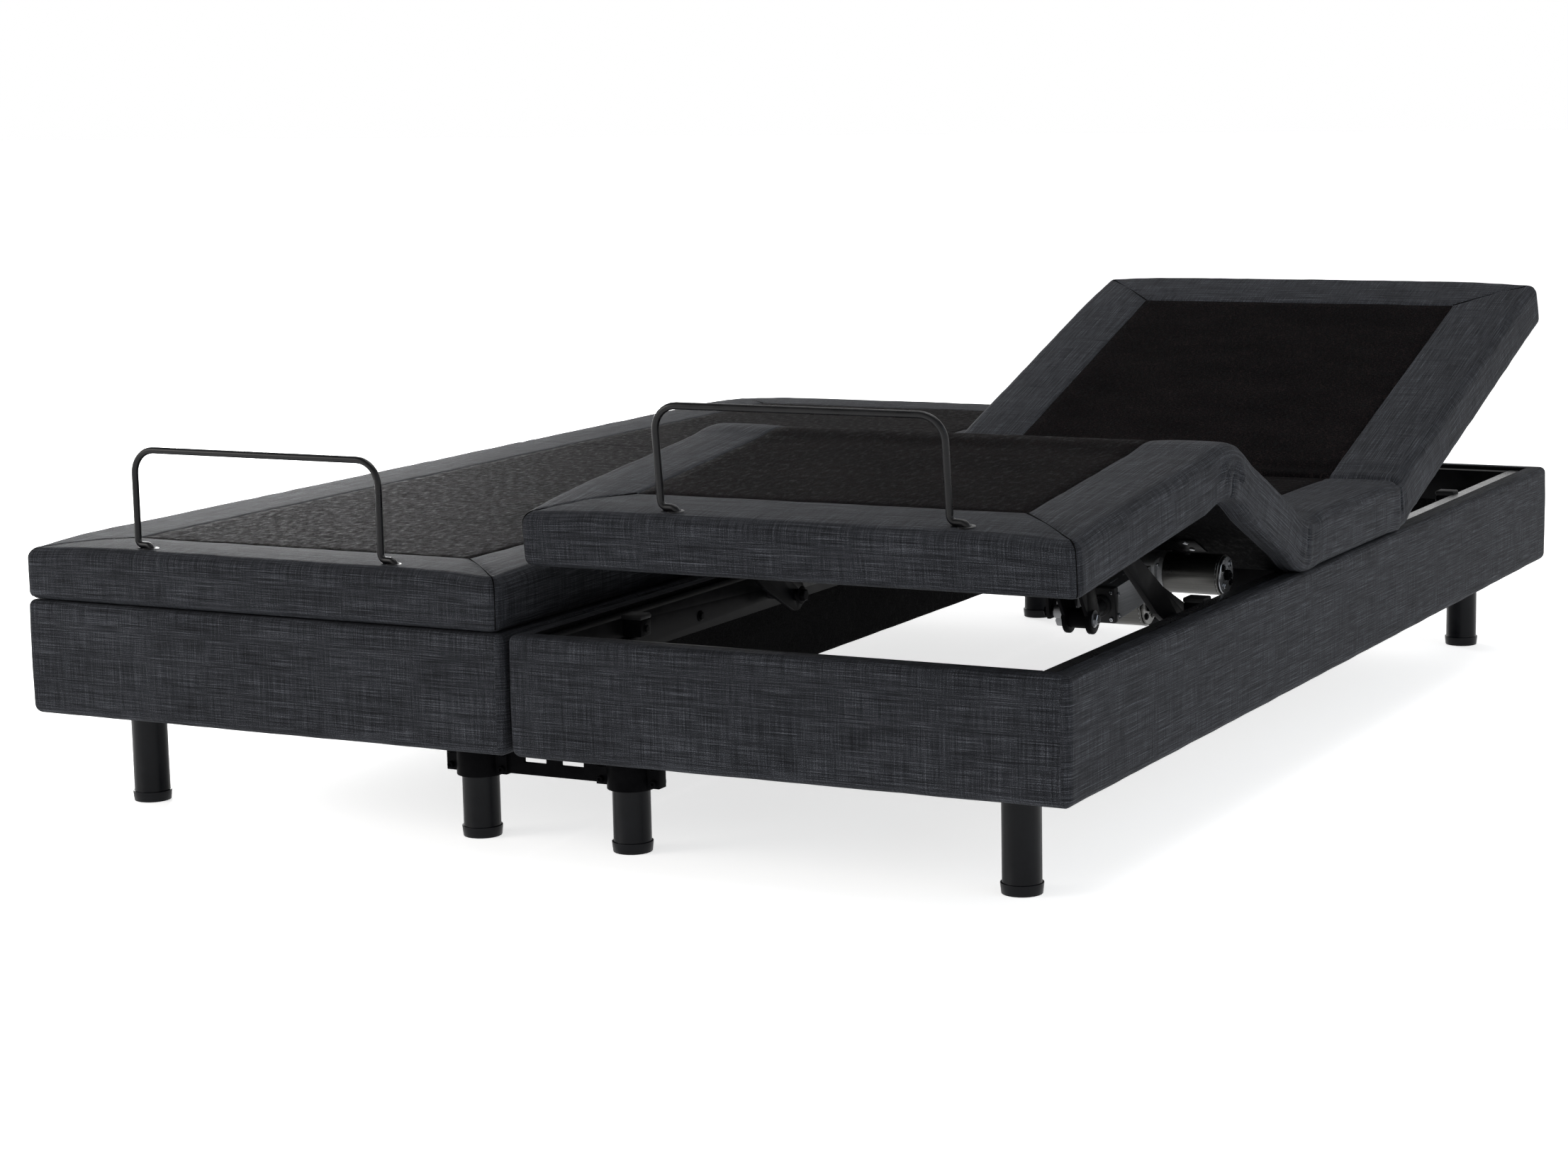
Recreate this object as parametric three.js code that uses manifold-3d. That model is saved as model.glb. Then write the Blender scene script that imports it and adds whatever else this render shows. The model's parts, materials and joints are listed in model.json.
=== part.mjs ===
// Adjustable bed base: a linked pair of upholstered units, each with a head panel, a fixed seat
// panel and a thigh and foot panel that break at the knee, driven by two linear actuators.
// Millimetres, +Z up. The origin is on the floor at the centre of the pair, +Y towards the head.
import * as THREE from 'three';
import { mergeVertices } from 'three/addons/utils/BufferGeometryUtils.js';
import Module from 'manifold-3d';

const wasm = await Module();
wasm.setup();

// Driving dimensions of one unit.
const WIDTH = 760;
const LENGTH = 2030;
const UNIT_GAP = 6.8;
const RAIL_BOTTOM = 133;
const RAIL_TOP = 289;
const RAIL_THICK = 31;
const RAIL_EDGE_RADIUS = 8;
const DECK_BOTTOM = 290;
const DECK_THICK = 74;
const INNER_INSET = 6;
const HEAD_INSET = 15;
const CLEAR = 0.5;
const OVERLAP = 1;

// Hinge lines of the deck, all at the same height just above the underside of the panels.
const HINGE_Z = 301;
const HEAD_HINGE_Y = 225;
const THIGH_HINGE_Y = -200;
const THIGH_LENGTH = 315;
const BELOW_HINGE = HINGE_Z - DECK_BOTTOM;
const ABOVE_HINGE = DECK_THICK - BELOW_HINGE;
const HEAD_BEVEL_DEG = 31;
const THIGH_BEVEL_DEG = 18.5;
const KNEE_BEVEL_DEG = 22.5;

// Rest pose of each unit, in degrees from flat, and the foot panel's slope per degree of thigh.
const REST = { right: { head: 18.3, thigh: 25 }, left: { head: 0, thigh: 0 } };
const FOOT_SLOPE_RATIO = 0.24;

// Steel frame inside the upholstered rails.
const TUBE_WIDE = 24;
const TUBE_TOP = 284;
const TUBE_BOTTOM = 234;
const CROSS_SIZE = 40;
const CROSS_TOP = 289.4;
const CROSS_Y = { front: -150, rear: 130 };
const CLEVIS = { halfEar: 13, halfTip: 9, below: 10, frameHalf: 19, thighHalf: 17, pad: 4 };

// Control box under the rear cross tube, with the power inlet and handset socket in its foot side.
const BOX = { x: -300, wide: 180, toFoot: 62, toHead: 48, high: 46, corner: 6 };
const INLET = { x: -280, wide: 28, deep: 16, fromTop: 14, high: 20 };
const SOCKET = { x: -236, wide: 20, deep: 12, fromTop: 18, high: 14 };

// Legs.
const LEG_INSET_X = 110;
const LEG_INSET_Y = 111;
const LEG_RADIUS = 24.5;
const GLIDE_RADIUS = 26.8;
const GLIDE_HIGH = 14;
const GLIDE_TAPER = 1.5;
const LEG_TOP = 228;
const LEG_PLATE_REACH = 42;

// Knee lift: the boomerang arms turn about the link pivot and guide a point under the foot panel.
const LINK_PIVOT = { y: -422, z: 255 };
const LINK_FOOT = { s: 150, h: -40 };
const LINK_X = 285;
const LINK_THICK = 8;
const PIN_RADIUS = 8;
const PIN_PAST_ARM = 6;
const ARM = { pivotRadius: 22, middleRadius: 19, tipRadius: 12, bend: 0.42, forward: 8, down: 14 };
const ARM_BORE_CLEAR = 0.6;
const LIFT_BAR = { halfX: 300, halfY: 20, thick: 14 };
const LIFT_LUG = { radius: 18, gap: 3 };
const LIFT_FORK = { halfTop: 34, inward: 19, rise: 8, radius: 20, fromDeg: 156, toDeg: 370 };

// Leg actuator: rear pin under the thigh panel, rod end in a fork under the foot panel.
const LEG_DRIVE_X = 202;
const LEG_DRIVE_REAR = { s: 55.8, h: -27 };
const LEG_DRIVE_FORK = { s: 89.3, h: -151.8 };
const LEG_PROFILE_END = 225;
const LEG_ROD_LONG = 165;

// Head actuator: rear pin under the front cross tube, rod end in a lever under the head panel.
const HEAD_DRIVE_REAR = { y: -150, z: 205 };
const HEAD_LEVER = 115;
const HEAD_LEVER_DEG = -120;
const HEAD_DRIVE_TILT_DEG = -1.7;
const HEAD_PROFILE_END = 265;
const HEAD_ROD_LONG = 187;
const LEVER_BAR = { halfX: 280, y0: 60, y1: 90, thick: 20 };
const LEVER_PLATE = { far: 150, near: 24, heel: 34 };
const LEVER_TIP = { back: 15, rise: 12, radius: 19, fromDeg: 140, toDeg: 300 };

// Actuator sections shared by both.
const PROFILE = { wide: 36, high: 44 };
const MOTOR = { radius: 27, start: 16, end: 106, along: 60, lift: 6 };
const EAR = { radius: 9.5, half: 9, long: 32, boreClear: 0.7 };
const GEARBOX = { x0: -20, x1: 22, y0: 26, y1: 96, z0: -26, z1: 29, corner: 9 };
const PROFILE_START = 90;
const ROD_RADIUS = 10;
const ROD_CLEAR = 0.6;
const EYE_RADIUS = 12;
const EYE_WIDE = 25;
const FORK_GAP = 27;
const PLATE = 5;
const DRIVE_PIN_RADIUS = 5;

// Mattress retainer bar on the foot panel.
const BAR = { wide: 390, high: 137, radius: 4.4, corner: 34, inset: 30, foot: 24, offset: 12 };
const BAR_HEEL = 9;
const BAR_LIFT = 0.6;
const BAR_STEPS = 72;

// Leg connector: round clamps with flat ears, and a slotted plate between them.
const CLAMP = { radius: 31, bore: 25, bottom: 82, high: 38, earReach: 46, earHalf: 9, earTrim: 3 };
const TIE = { inset: 36, half: 3, bottom: 86, top: 122 };
const TIE_SLOT = { x: 28, half: 17, bottom: 102, top: 111 };

const ARC_STEPS = 24;
const PIN_STEPS = 16;
const SOFT_EDGE_STEPS = 3;
const LUG_STEPS = 6;
const CLAMP_STEPS = 32;
const rad = THREE.MathUtils.degToRad;

// Materials.
function finish(color, roughness, metalness) {
  return new THREE.MeshStandardMaterial({ color, roughness, metalness });
}
const fabric = () => finish(0x3c4046, 0.95, 0);
const blackSteel = () => finish(0x0f1014, 0.45, 0.6);
const legPaint = () => finish(0x111216, 0.4, 0.3);
const profileGrey = () => finish(0x6e7073, 0.4, 0.9);
const rodSilver = () => finish(0x9a9ca0, 0.3, 1);
const blackPlastic = () => finish(0x131416, 0.6, 0);

// Solid helpers.
function toSolid(geometry) {
  const bare = geometry.index ? geometry.toNonIndexed() : geometry.clone();
  bare.deleteAttribute('normal');
  bare.deleteAttribute('uv');
  const merged = mergeVertices(bare, 1e-4);
  const mesh = new wasm.Mesh({
    numProp: 3,
    vertProperties: new Float32Array(merged.attributes.position.array),
    triVerts: new Uint32Array(merged.index.array),
  });
  mesh.merge();
  return new wasm.Manifold(mesh);
}

function toGeometry(solid) {
  const mesh = solid.getMesh();
  const geometry = new THREE.BufferGeometry();
  geometry.setAttribute('position', new THREE.BufferAttribute(new Float32Array(mesh.vertProperties), 3));
  geometry.setIndex(new THREE.BufferAttribute(new Uint32Array(mesh.triVerts), 1));
  return geometry;
}

function join(...geometries) {
  return toGeometry(geometries.map(toSolid).reduce((sum, solid) => sum.add(solid)));
}

function cut(geometry, ...tools) {
  return toGeometry(tools.map(toSolid).reduce((sum, solid) => sum.subtract(solid), toSolid(geometry)));
}

function block(x0, x1, y0, y1, z0, z1) {
  const geometry = new THREE.BoxGeometry(x1 - x0, y1 - y0, z1 - z0);
  return geometry.translate((x0 + x1) / 2, (y0 + y1) / 2, (z0 + z1) / 2);
}

// A shape drawn in (y, z), extruded along x from x0 to x1.
function slab(shape, x0, x1, curveSegments = 8) {
  const options = { depth: x1 - x0, bevelEnabled: false, curveSegments };
  const geometry = new THREE.ExtrudeGeometry(shape, options);
  const toYZX = new THREE.Matrix4().makeBasis(
    new THREE.Vector3(0, 1, 0),
    new THREE.Vector3(0, 0, 1),
    new THREE.Vector3(1, 0, 0),
  );
  return geometry.applyMatrix4(toYZX).translate(x0, 0, 0);
}

function outline(points) {
  return new THREE.Shape(points.map(([y, z]) => new THREE.Vector2(y, z)));
}

function rodAlongX(radius, x0, x1, y, z, steps = ARC_STEPS) {
  const geometry = new THREE.CylinderGeometry(radius, radius, x1 - x0, steps);
  return geometry.rotateZ(Math.PI / 2).translate((x0 + x1) / 2, y, z);
}

function rodAlongY(radius, y0, y1, x, z, steps = ARC_STEPS) {
  const geometry = new THREE.CylinderGeometry(radius, radius, Math.abs(y1 - y0), steps);
  return geometry.translate(x, (y0 + y1) / 2, z);
}

function rodAlongZ(bottomRadius, topRadius, z0, z1, x, y, steps = ARC_STEPS) {
  const geometry = new THREE.CylinderGeometry(topRadius, bottomRadius, z1 - z0, steps);
  return geometry.rotateX(Math.PI / 2).translate(x, y, (z0 + z1) / 2);
}

// A rectangle in (a, b) with rounded corners.
function roundedRect(a0, a1, b0, b1, radius) {
  const shape = new THREE.Shape();
  shape.moveTo(a0 + radius, b0);
  shape.lineTo(a1 - radius, b0);
  shape.absarc(a1 - radius, b0 + radius, radius, -Math.PI / 2, 0, false);
  shape.lineTo(a1, b1 - radius);
  shape.absarc(a1 - radius, b1 - radius, radius, 0, Math.PI / 2, false);
  shape.lineTo(a0 + radius, b1);
  shape.absarc(a0 + radius, b1 - radius, radius, Math.PI / 2, Math.PI, false);
  shape.lineTo(a0, b0 + radius);
  shape.absarc(a0 + radius, b0 + radius, radius, Math.PI, Math.PI * 1.5, false);
  return shape;
}

// The outline of a link: two round ends of their own radii joined by straight tangent-like sides.
function linkShape(from, to, fromRadius, toRadius) {
  const angle = Math.atan2(to.z - from.z, to.y - from.y);
  const shape = new THREE.Shape();
  shape.absarc(from.y, from.z, fromRadius, angle + Math.PI / 2, angle + Math.PI * 1.5, false);
  shape.absarc(to.y, to.z, toRadius, angle - Math.PI / 2, angle + Math.PI / 2, false);
  return shape;
}

function part(name, geometry, material) {
  const mesh = new THREE.Mesh(geometry, material);
  mesh.name = name;
  return mesh;
}

// Upholstered rails: a padded board with rounded edges on each side of the unit.
function endRail() {
  const shape = roundedRect(0, RAIL_THICK, RAIL_BOTTOM, RAIL_TOP, RAIL_EDGE_RADIUS);
  return slab(shape, -WIDTH / 2, WIDTH / 2, SOFT_EDGE_STEPS);
}

function sideRail() {
  const half = LENGTH / 2 - RAIL_THICK - CLEAR;
  const shape = roundedRect(0, RAIL_THICK, RAIL_BOTTOM, RAIL_TOP, RAIL_EDGE_RADIUS);
  const geometry = slab(shape, -half, half, SOFT_EDGE_STEPS);
  return geometry.rotateZ(Math.PI / 2);
}

// Steel tubes of the inner frame. The side tube carries the pivot pin of the boomerang arm.
const FRAME_HALF_X = WIDTH / 2 - RAIL_THICK - CLEAR;
const FRAME_HALF_Y = LENGTH / 2 - RAIL_THICK - CLEAR;

function sideTube(side) {
  const inner = FRAME_HALF_X - TUBE_WIDE;
  const pinStart = LINK_X - LINK_THICK / 2 - PIN_PAST_ARM;
  const across = (from, to) => [side * from, side * to].sort((a, b) => a - b);
  const tube = block(...across(inner, FRAME_HALF_X), -FRAME_HALF_Y, FRAME_HALF_Y, TUBE_BOTTOM, TUBE_TOP);
  const pin = rodAlongX(PIN_RADIUS, ...across(pinStart, inner + OVERLAP), LINK_PIVOT.y, LINK_PIVOT.z);
  return join(tube, pin);
}

function endTube(y0, y1) {
  const inner = FRAME_HALF_X - TUBE_WIDE - CLEAR;
  return block(-inner, inner, y0, y1, TUBE_BOTTOM, TUBE_TOP);
}

function crossTube(y) {
  const half = FRAME_HALF_X - TUBE_WIDE - CLEAR;
  const size = CROSS_SIZE / 2;
  return block(-half, half, y - size, y + size, CROSS_TOP - CROSS_SIZE, CROSS_TOP);
}

// Two plates and a pin that carry the rear ear of an actuator, hung from height top.
function clevis(x, y, z, top, halfTop) {
  const points = [
    [y - halfTop, top],
    [y - CLEVIS.halfEar, z],
    [y - CLEVIS.halfTip, z - CLEVIS.below],
    [y + CLEVIS.halfTip, z - CLEVIS.below],
    [y + CLEVIS.halfEar, z],
    [y + halfTop, top],
  ];
  const shape = outline(points.reverse());
  const inner = FORK_GAP / 2;
  const left = slab(shape, x - inner - PLATE, x - inner);
  const right = slab(shape, x + inner, x + inner + PLATE);
  const pin = rodAlongX(DRIVE_PIN_RADIUS, x - inner - OVERLAP, x + inner + OVERLAP, y, z, PIN_STEPS);
  return [left, right, pin];
}

function frontCross() {
  const { y, z } = HEAD_DRIVE_REAR;
  const hung = clevis(0, y, z, CROSS_TOP - CROSS_SIZE + OVERLAP, CLEVIS.frameHalf);
  return join(crossTube(CROSS_Y.front), ...hung);
}

// Control box with two recesses in its foot-side wall.
function controlBox() {
  const top = CROSS_TOP - CROSS_SIZE - CLEAR;
  const wall = CROSS_Y.rear - BOX.toFoot;
  const section = roundedRect(wall, CROSS_Y.rear + BOX.toHead, top - BOX.high, top, BOX.corner);
  const box = slab(section, BOX.x, BOX.x + BOX.wide, SOFT_EDGE_STEPS);
  const recesses = [INLET, SOCKET].map((hole) => {
    const high = top - hole.fromTop;
    return block(hole.x, hole.x + hole.wide, wall - OVERLAP, wall + hole.deep, high - hole.high, high);
  });
  return cut(box, ...recesses);
}

// Leg: glide cap, tube and the corner plate that screws up under the frame tubes.
function leg(signX, signY) {
  const x = signX * (WIDTH / 2 - LEG_INSET_X);
  const y = signY * (LENGTH / 2 - LEG_INSET_Y);
  const plateX = [x - signX * LEG_PLATE_REACH, signX * (FRAME_HALF_X - OVERLAP)].sort((a, b) => a - b);
  const plateY = [y - signY * LEG_PLATE_REACH, signY * (FRAME_HALF_Y - OVERLAP)].sort((a, b) => a - b);
  return join(
    rodAlongZ(GLIDE_RADIUS - GLIDE_TAPER, GLIDE_RADIUS, 0, GLIDE_HIGH, x, y),
    rodAlongZ(LEG_RADIUS, LEG_RADIUS, GLIDE_HIGH - OVERLAP, LEG_TOP + OVERLAP, x, y),
    block(plateX[0], plateX[1], plateY[0], plateY[1], LEG_TOP, TUBE_BOTTOM - CLEAR),
  );
}

// Deck panels. Each is an outline in (y, z) about its hinge, extruded across the unit.
const HALF_DECK = { outer: WIDTH / 2, inner: WIDTH / 2 - INNER_INSET };

function panel(points, side) {
  const x0 = side > 0 ? -HALF_DECK.inner : -HALF_DECK.outer;
  const x1 = side > 0 ? HALF_DECK.outer : HALF_DECK.inner;
  return slab(outline(points), x0, x1);
}

// Ends of a panel, from its underside up: a fold that closes above its hinge needs a bevel above
// it, and the knee, which closes below its hinge, a bevel below it.
const headBevel = ABOVE_HINGE * Math.tan(rad(HEAD_BEVEL_DEG));
const thighBevel = ABOVE_HINGE * Math.tan(rad(THIGH_BEVEL_DEG));
const kneeBevel = BELOW_HINGE * Math.tan(rad(KNEE_BEVEL_DEG));

function foldEnd(direction, bevel) {
  return [
    [direction * CLEAR, -BELOW_HINGE],
    [direction * CLEAR, 0],
    [direction * (CLEAR + bevel), ABOVE_HINGE],
  ];
}

function kneeEnd(direction) {
  return [
    [direction * (CLEAR + kneeBevel), -BELOW_HINGE],
    [direction * CLEAR, 0],
    [direction * CLEAR, ABOVE_HINGE],
  ];
}

function plainEnd(y) {
  return [
    [y, -BELOW_HINGE],
    [y, ABOVE_HINGE],
  ];
}

function shift(points, y) {
  return points.map(([a, b]) => [a + y, b]);
}

// Closes an outline from its low-y end and its high-y end, counter-clockwise in (y, z).
function betweenEnds(low, high) {
  return [...high, ...low.slice().reverse()];
}

const FOOT_LENGTH = LENGTH / 2 + THIGH_HINGE_Y - THIGH_LENGTH;
const HEAD_LENGTH = LENGTH / 2 - HEAD_HINGE_Y - HEAD_INSET;

const headPoints = betweenEnds(foldEnd(1, headBevel), plainEnd(HEAD_LENGTH));
const seatPoints = betweenEnds(
  shift(foldEnd(1, thighBevel), THIGH_HINGE_Y),
  shift(foldEnd(-1, headBevel), HEAD_HINGE_Y),
);
const thighPoints = betweenEnds(shift(kneeEnd(1), -THIGH_LENGTH), foldEnd(-1, thighBevel));
const footPoints = betweenEnds(plainEnd(-FOOT_LENGTH), kneeEnd(-1));

// Lever under the head panel: two plates welded to a cross bar screwed to the panel.
function headLever() {
  const tipY = HEAD_LEVER * Math.cos(rad(HEAD_LEVER_DEG));
  const tipZ = HEAD_LEVER * Math.sin(rad(HEAD_LEVER_DEG));
  const top = -BELOW_HINGE - CLEAR;
  const { back, rise, radius, fromDeg, toDeg } = LEVER_TIP;
  const shape = new THREE.Shape();
  shape.moveTo(LEVER_PLATE.far, top);
  shape.lineTo(LEVER_PLATE.near, top);
  shape.lineTo(tipY - back, tipZ + rise);
  shape.absarc(tipY, tipZ, radius, rad(fromDeg), rad(toDeg), false);
  shape.lineTo(LEVER_BAR.y1, top - LEVER_PLATE.heel);
  const inner = FORK_GAP / 2;
  return join(
    slab(shape, -inner - PLATE, -inner),
    slab(shape, inner, inner + PLATE),
    block(-LEVER_BAR.halfX, LEVER_BAR.halfX, LEVER_BAR.y0, LEVER_BAR.y1, top - LEVER_BAR.thick, top),
  );
}

// The fork that holds the leg actuator's rod end, drawn under the foot panel's cross bar.
function forkShape(top) {
  const { halfTop, inward, rise, radius, fromDeg, toDeg } = LIFT_FORK;
  const tip = { y: -LEG_DRIVE_FORK.s, z: LEG_DRIVE_FORK.h };
  const shape = new THREE.Shape();
  shape.moveTo(-LINK_FOOT.s + halfTop, top);
  shape.lineTo(-LINK_FOOT.s - halfTop, top);
  shape.lineTo(tip.y - inward, tip.z + rise);
  shape.absarc(tip.y, tip.z, radius, rad(fromDeg), rad(toDeg), false);
  return shape;
}

function lugShape(top) {
  const shape = new THREE.Shape();
  shape.moveTo(-LINK_FOOT.s + LIFT_BAR.halfY, top);
  shape.lineTo(-LINK_FOOT.s - LIFT_BAR.halfY, top);
  shape.absarc(-LINK_FOOT.s, LINK_FOOT.h, LIFT_LUG.radius, Math.PI, Math.PI * 2, false);
  return shape;
}

// Knee lift bar under the foot panel: a cross bar with the actuator fork and a lug for each arm.
function kneeLiftBar() {
  const top = -BELOW_HINGE - CLEAR;
  const { halfX, halfY, thick } = LIFT_BAR;
  const fork = forkShape(top);
  const lug = lugShape(top);
  const inner = FORK_GAP / 2;
  const lugStart = LINK_X + LINK_THICK / 2 + LIFT_LUG.gap;
  return join(
    block(-halfX, halfX, -LINK_FOOT.s - halfY, -LINK_FOOT.s + halfY, top - thick, top),
    slab(fork, LEG_DRIVE_X - inner - PLATE, LEG_DRIVE_X - inner),
    slab(fork, LEG_DRIVE_X + inner, LEG_DRIVE_X + inner + PLATE),
    slab(lug, lugStart, lugStart + PLATE, LUG_STEPS),
    slab(lug, -lugStart - PLATE, -lugStart, LUG_STEPS),
  );
}

// Clevis under the thigh panel for the rear of the leg actuator.
function thighClevis() {
  const top = -BELOW_HINGE - CLEAR;
  const y = -LEG_DRIVE_REAR.s;
  const halfY = CLEVIS.thighHalf;
  const halfX = FORK_GAP / 2 + PLATE;
  const hung = clevis(LEG_DRIVE_X, y, LEG_DRIVE_REAR.h, top - OVERLAP, halfY);
  const padX = [LEG_DRIVE_X - halfX, LEG_DRIVE_X + halfX];
  const pad = block(...padX, y - halfY, y + halfY, top - CLEVIS.pad, top);
  return join(pad, ...hung);
}

// Actuator body about its rear pin, pointing along direction * y.
function actuatorBody(direction, profileEnd) {
  const along = (a, b) => [direction * a, direction * b].sort((p, q) => p - q);
  const { x0, x1, y0, y1, z0, z1, corner } = GEARBOX;
  const boreRadius = DRIVE_PIN_RADIUS + EAR.boreClear;
  const pinBore = rodAlongX(boreRadius, -EAR.half - OVERLAP, EAR.half + OVERLAP, 0, 0, PIN_STEPS);
  const earEnd = rodAlongX(EAR.radius, -EAR.half, EAR.half, 0, 0);
  const ear = cut(
    join(earEnd, block(-EAR.half, EAR.half, ...along(0, EAR.long), -EAR.radius, EAR.radius)),
    pinBore,
  );
  const gearbox = slab(roundedRect(...along(y0, y1), z0, z1, corner), x0, x1, SOFT_EDGE_STEPS);
  const halfX = PROFILE.wide / 2;
  const halfZ = PROFILE.high / 2;
  const profile = block(-halfX, halfX, ...along(PROFILE_START, profileEnd), -halfZ, halfZ);
  const motor = rodAlongX(MOTOR.radius, MOTOR.start, MOTOR.end, direction * MOTOR.along, MOTOR.lift);
  const rodBore = rodAlongY(
    ROD_RADIUS + ROD_CLEAR,
    direction * (PROFILE_START + OVERLAP),
    direction * (profileEnd + OVERLAP),
    0,
    0,
  );
  return cut(join(ear, gearbox, profile, motor), rodBore);
}

// Actuator rod about its eye, reaching back along -direction * y into the profile.
function actuatorRod(direction, long) {
  return join(
    rodAlongX(EYE_RADIUS, -EYE_WIDE / 2, EYE_WIDE / 2, 0, 0),
    rodAlongY(ROD_RADIUS, 0, -direction * long, 0, 0),
  );
}

// Boomerang arm about its pivot. It reaches a point at tip, bending below the straight line.
function boomerangArm(tip) {
  const middle = { y: tip.y * ARM.bend + ARM.forward, z: tip.z * ARM.bend - ARM.down };
  const half = LINK_THICK / 2;
  const lower = slab(linkShape({ y: 0, z: 0 }, middle, ARM.pivotRadius, ARM.middleRadius), -half, half);
  const upper = slab(linkShape(middle, tip, ARM.middleRadius, ARM.tipRadius), -half, half);
  const eye = rodAlongX(PIN_RADIUS + ARM_BORE_CLEAR, -half - OVERLAP, half + OVERLAP, 0, 0);
  return cut(join(lower, upper), eye);
}

// Mattress retainer bar: a round rod bent to a U, with its feet turned back on the panel.
function retainerBar() {
  const half = BAR.wide / 2;
  const corners = [
    [-half, BAR.foot, BAR.radius + BAR_LIFT],
    [-half, 0, BAR.radius + BAR_LIFT],
    [-half, 0, BAR.high - BAR.radius],
    [half, 0, BAR.high - BAR.radius],
    [half, 0, BAR.radius + BAR_LIFT],
    [half, BAR.foot, BAR.radius + BAR_LIFT],
  ].map((point) => new THREE.Vector3(...point));
  const bends = [0, BAR_HEEL, BAR.corner, BAR.corner, BAR_HEEL, 0];
  const path = new THREE.CurvePath();
  let last = corners[0];
  for (let i = 1; i < corners.length - 1; i += 1) {
    const toLast = corners[i - 1].clone().sub(corners[i]).normalize();
    const toNext = corners[i + 1].clone().sub(corners[i]).normalize();
    const enter = corners[i].clone().addScaledVector(toLast, bends[i]);
    const leave = corners[i].clone().addScaledVector(toNext, bends[i]);
    path.add(new THREE.LineCurve3(last, enter));
    path.add(new THREE.QuadraticBezierCurve3(enter, corners[i], leave));
    last = leave;
  }
  path.add(new THREE.LineCurve3(last, corners[corners.length - 1]));
  const section = new THREE.Shape().absarc(0, 0, BAR.radius, 0, Math.PI * 2, false);
  return new THREE.ExtrudeGeometry(section, { steps: BAR_STEPS, curveSegments: 4, extrudePath: path });
}

// A round clamp with a flat ear on each side, about the leg at x.
function legClamp(x, y) {
  const { radius, bottom, high, earReach, earHalf, earTrim } = CLAMP;
  const top = bottom + high;
  return join(
    rodAlongZ(radius, radius, bottom, top, x, y, CLAMP_STEPS),
    block(x - earReach, x + earReach, y - earHalf, y + earHalf, bottom + earTrim, top - earTrim),
  );
}

// Leg connector: a clamp round one leg of each unit and a slotted plate between them.
function legConnector(y) {
  const legX = UNIT_GAP / 2 + LEG_INSET_X;
  const clamps = [-1, 1].map((sign) => legClamp(sign * legX, y));
  const plateEnd = legX - TIE.inset;
  const plate = block(-plateEnd, plateEnd, y - TIE.half, y + TIE.half, TIE.bottom, TIE.top);
  const low = CLAMP.bottom - OVERLAP;
  const high = CLAMP.bottom + CLAMP.high + OVERLAP;
  const holes = [-1, 1].map((sign) =>
    rodAlongZ(CLAMP.bore, CLAMP.bore, low, high, sign * legX, y, CLAMP_STEPS),
  );
  const slots = [-1, 1].map((sign) => {
    const x = sign * TIE_SLOT.x;
    const depth = TIE.half + OVERLAP;
    const { half, bottom, top } = TIE_SLOT;
    return block(x - half, x + half, y - depth, y + depth, bottom, top);
  });
  return cut(join(plate, ...clamps), ...holes, ...slots);
}

// Points of the lift geometry in the (y, z) plane, for a thigh angle in degrees.
function panelPoint(origin, directionY, angle, s, h) {
  const c = Math.cos(angle);
  const n = Math.sin(angle);
  return { y: origin.y + directionY * (s * c - h * n), z: origin.z + s * n + h * c };
}

const thighHinge = { y: THIGH_HINGE_Y, z: HINGE_Z };

function liftPose(thighDeg) {
  const thigh = rad(thighDeg);
  const foot = -thigh * FOOT_SLOPE_RATIO;
  const knee = panelPoint(thighHinge, -1, thigh, THIGH_LENGTH, 0);
  return {
    knee,
    foot,
    rear: panelPoint(thighHinge, -1, thigh, LEG_DRIVE_REAR.s, LEG_DRIVE_REAR.h),
    fork: panelPoint(knee, -1, foot, LEG_DRIVE_FORK.s, LEG_DRIVE_FORK.h),
    guide: panelPoint(knee, -1, foot, LINK_FOOT.s, LINK_FOOT.h),
  };
}

function place(object, y, z, x = 0, angle = 0) {
  object.position.set(x, y, z);
  object.rotation.x = angle;
  return object;
}

function rigid(...children) {
  const body = new THREE.Group();
  body.add(...children);
  return body;
}

function baseParts(name) {
  const parts = new THREE.Group();
  const halfX = WIDTH / 2;
  const halfY = LENGTH / 2;
  parts.add(place(part(`${name}_foot_rail`, endRail(), fabric()), -halfY, 0));
  parts.add(place(part(`${name}_head_rail`, endRail(), fabric()), halfY - RAIL_THICK, 0));
  parts.add(place(part(`${name}_side_rail_a`, sideRail(), fabric()), 0, 0, halfX));
  parts.add(place(part(`${name}_side_rail_b`, sideRail(), fabric()), 0, 0, -halfX + RAIL_THICK));
  parts.add(part(`${name}_frame_tube_a`, sideTube(1), blackSteel()));
  parts.add(part(`${name}_frame_tube_b`, sideTube(-1), blackSteel()));
  const foot = endTube(-FRAME_HALF_Y, -FRAME_HALF_Y + TUBE_WIDE);
  const head = endTube(FRAME_HALF_Y - TUBE_WIDE, FRAME_HALF_Y);
  parts.add(part(`${name}_foot_frame_tube`, foot, blackSteel()));
  parts.add(part(`${name}_head_frame_tube`, head, blackSteel()));
  parts.add(part(`${name}_front_cross_tube`, frontCross(), blackSteel()));
  parts.add(part(`${name}_rear_cross_tube`, crossTube(CROSS_Y.rear), blackSteel()));
  parts.add(part(`${name}_control_box`, controlBox(), blackPlastic()));
  const corners = { foot_leg_a: [1, -1], foot_leg_b: [-1, -1], head_leg_a: [1, 1], head_leg_b: [-1, 1] };
  for (const [corner, [signX, signY]] of Object.entries(corners)) {
    parts.add(part(`${name}_${corner}`, leg(signX, signY), legPaint()));
  }
  return parts;
}

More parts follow.
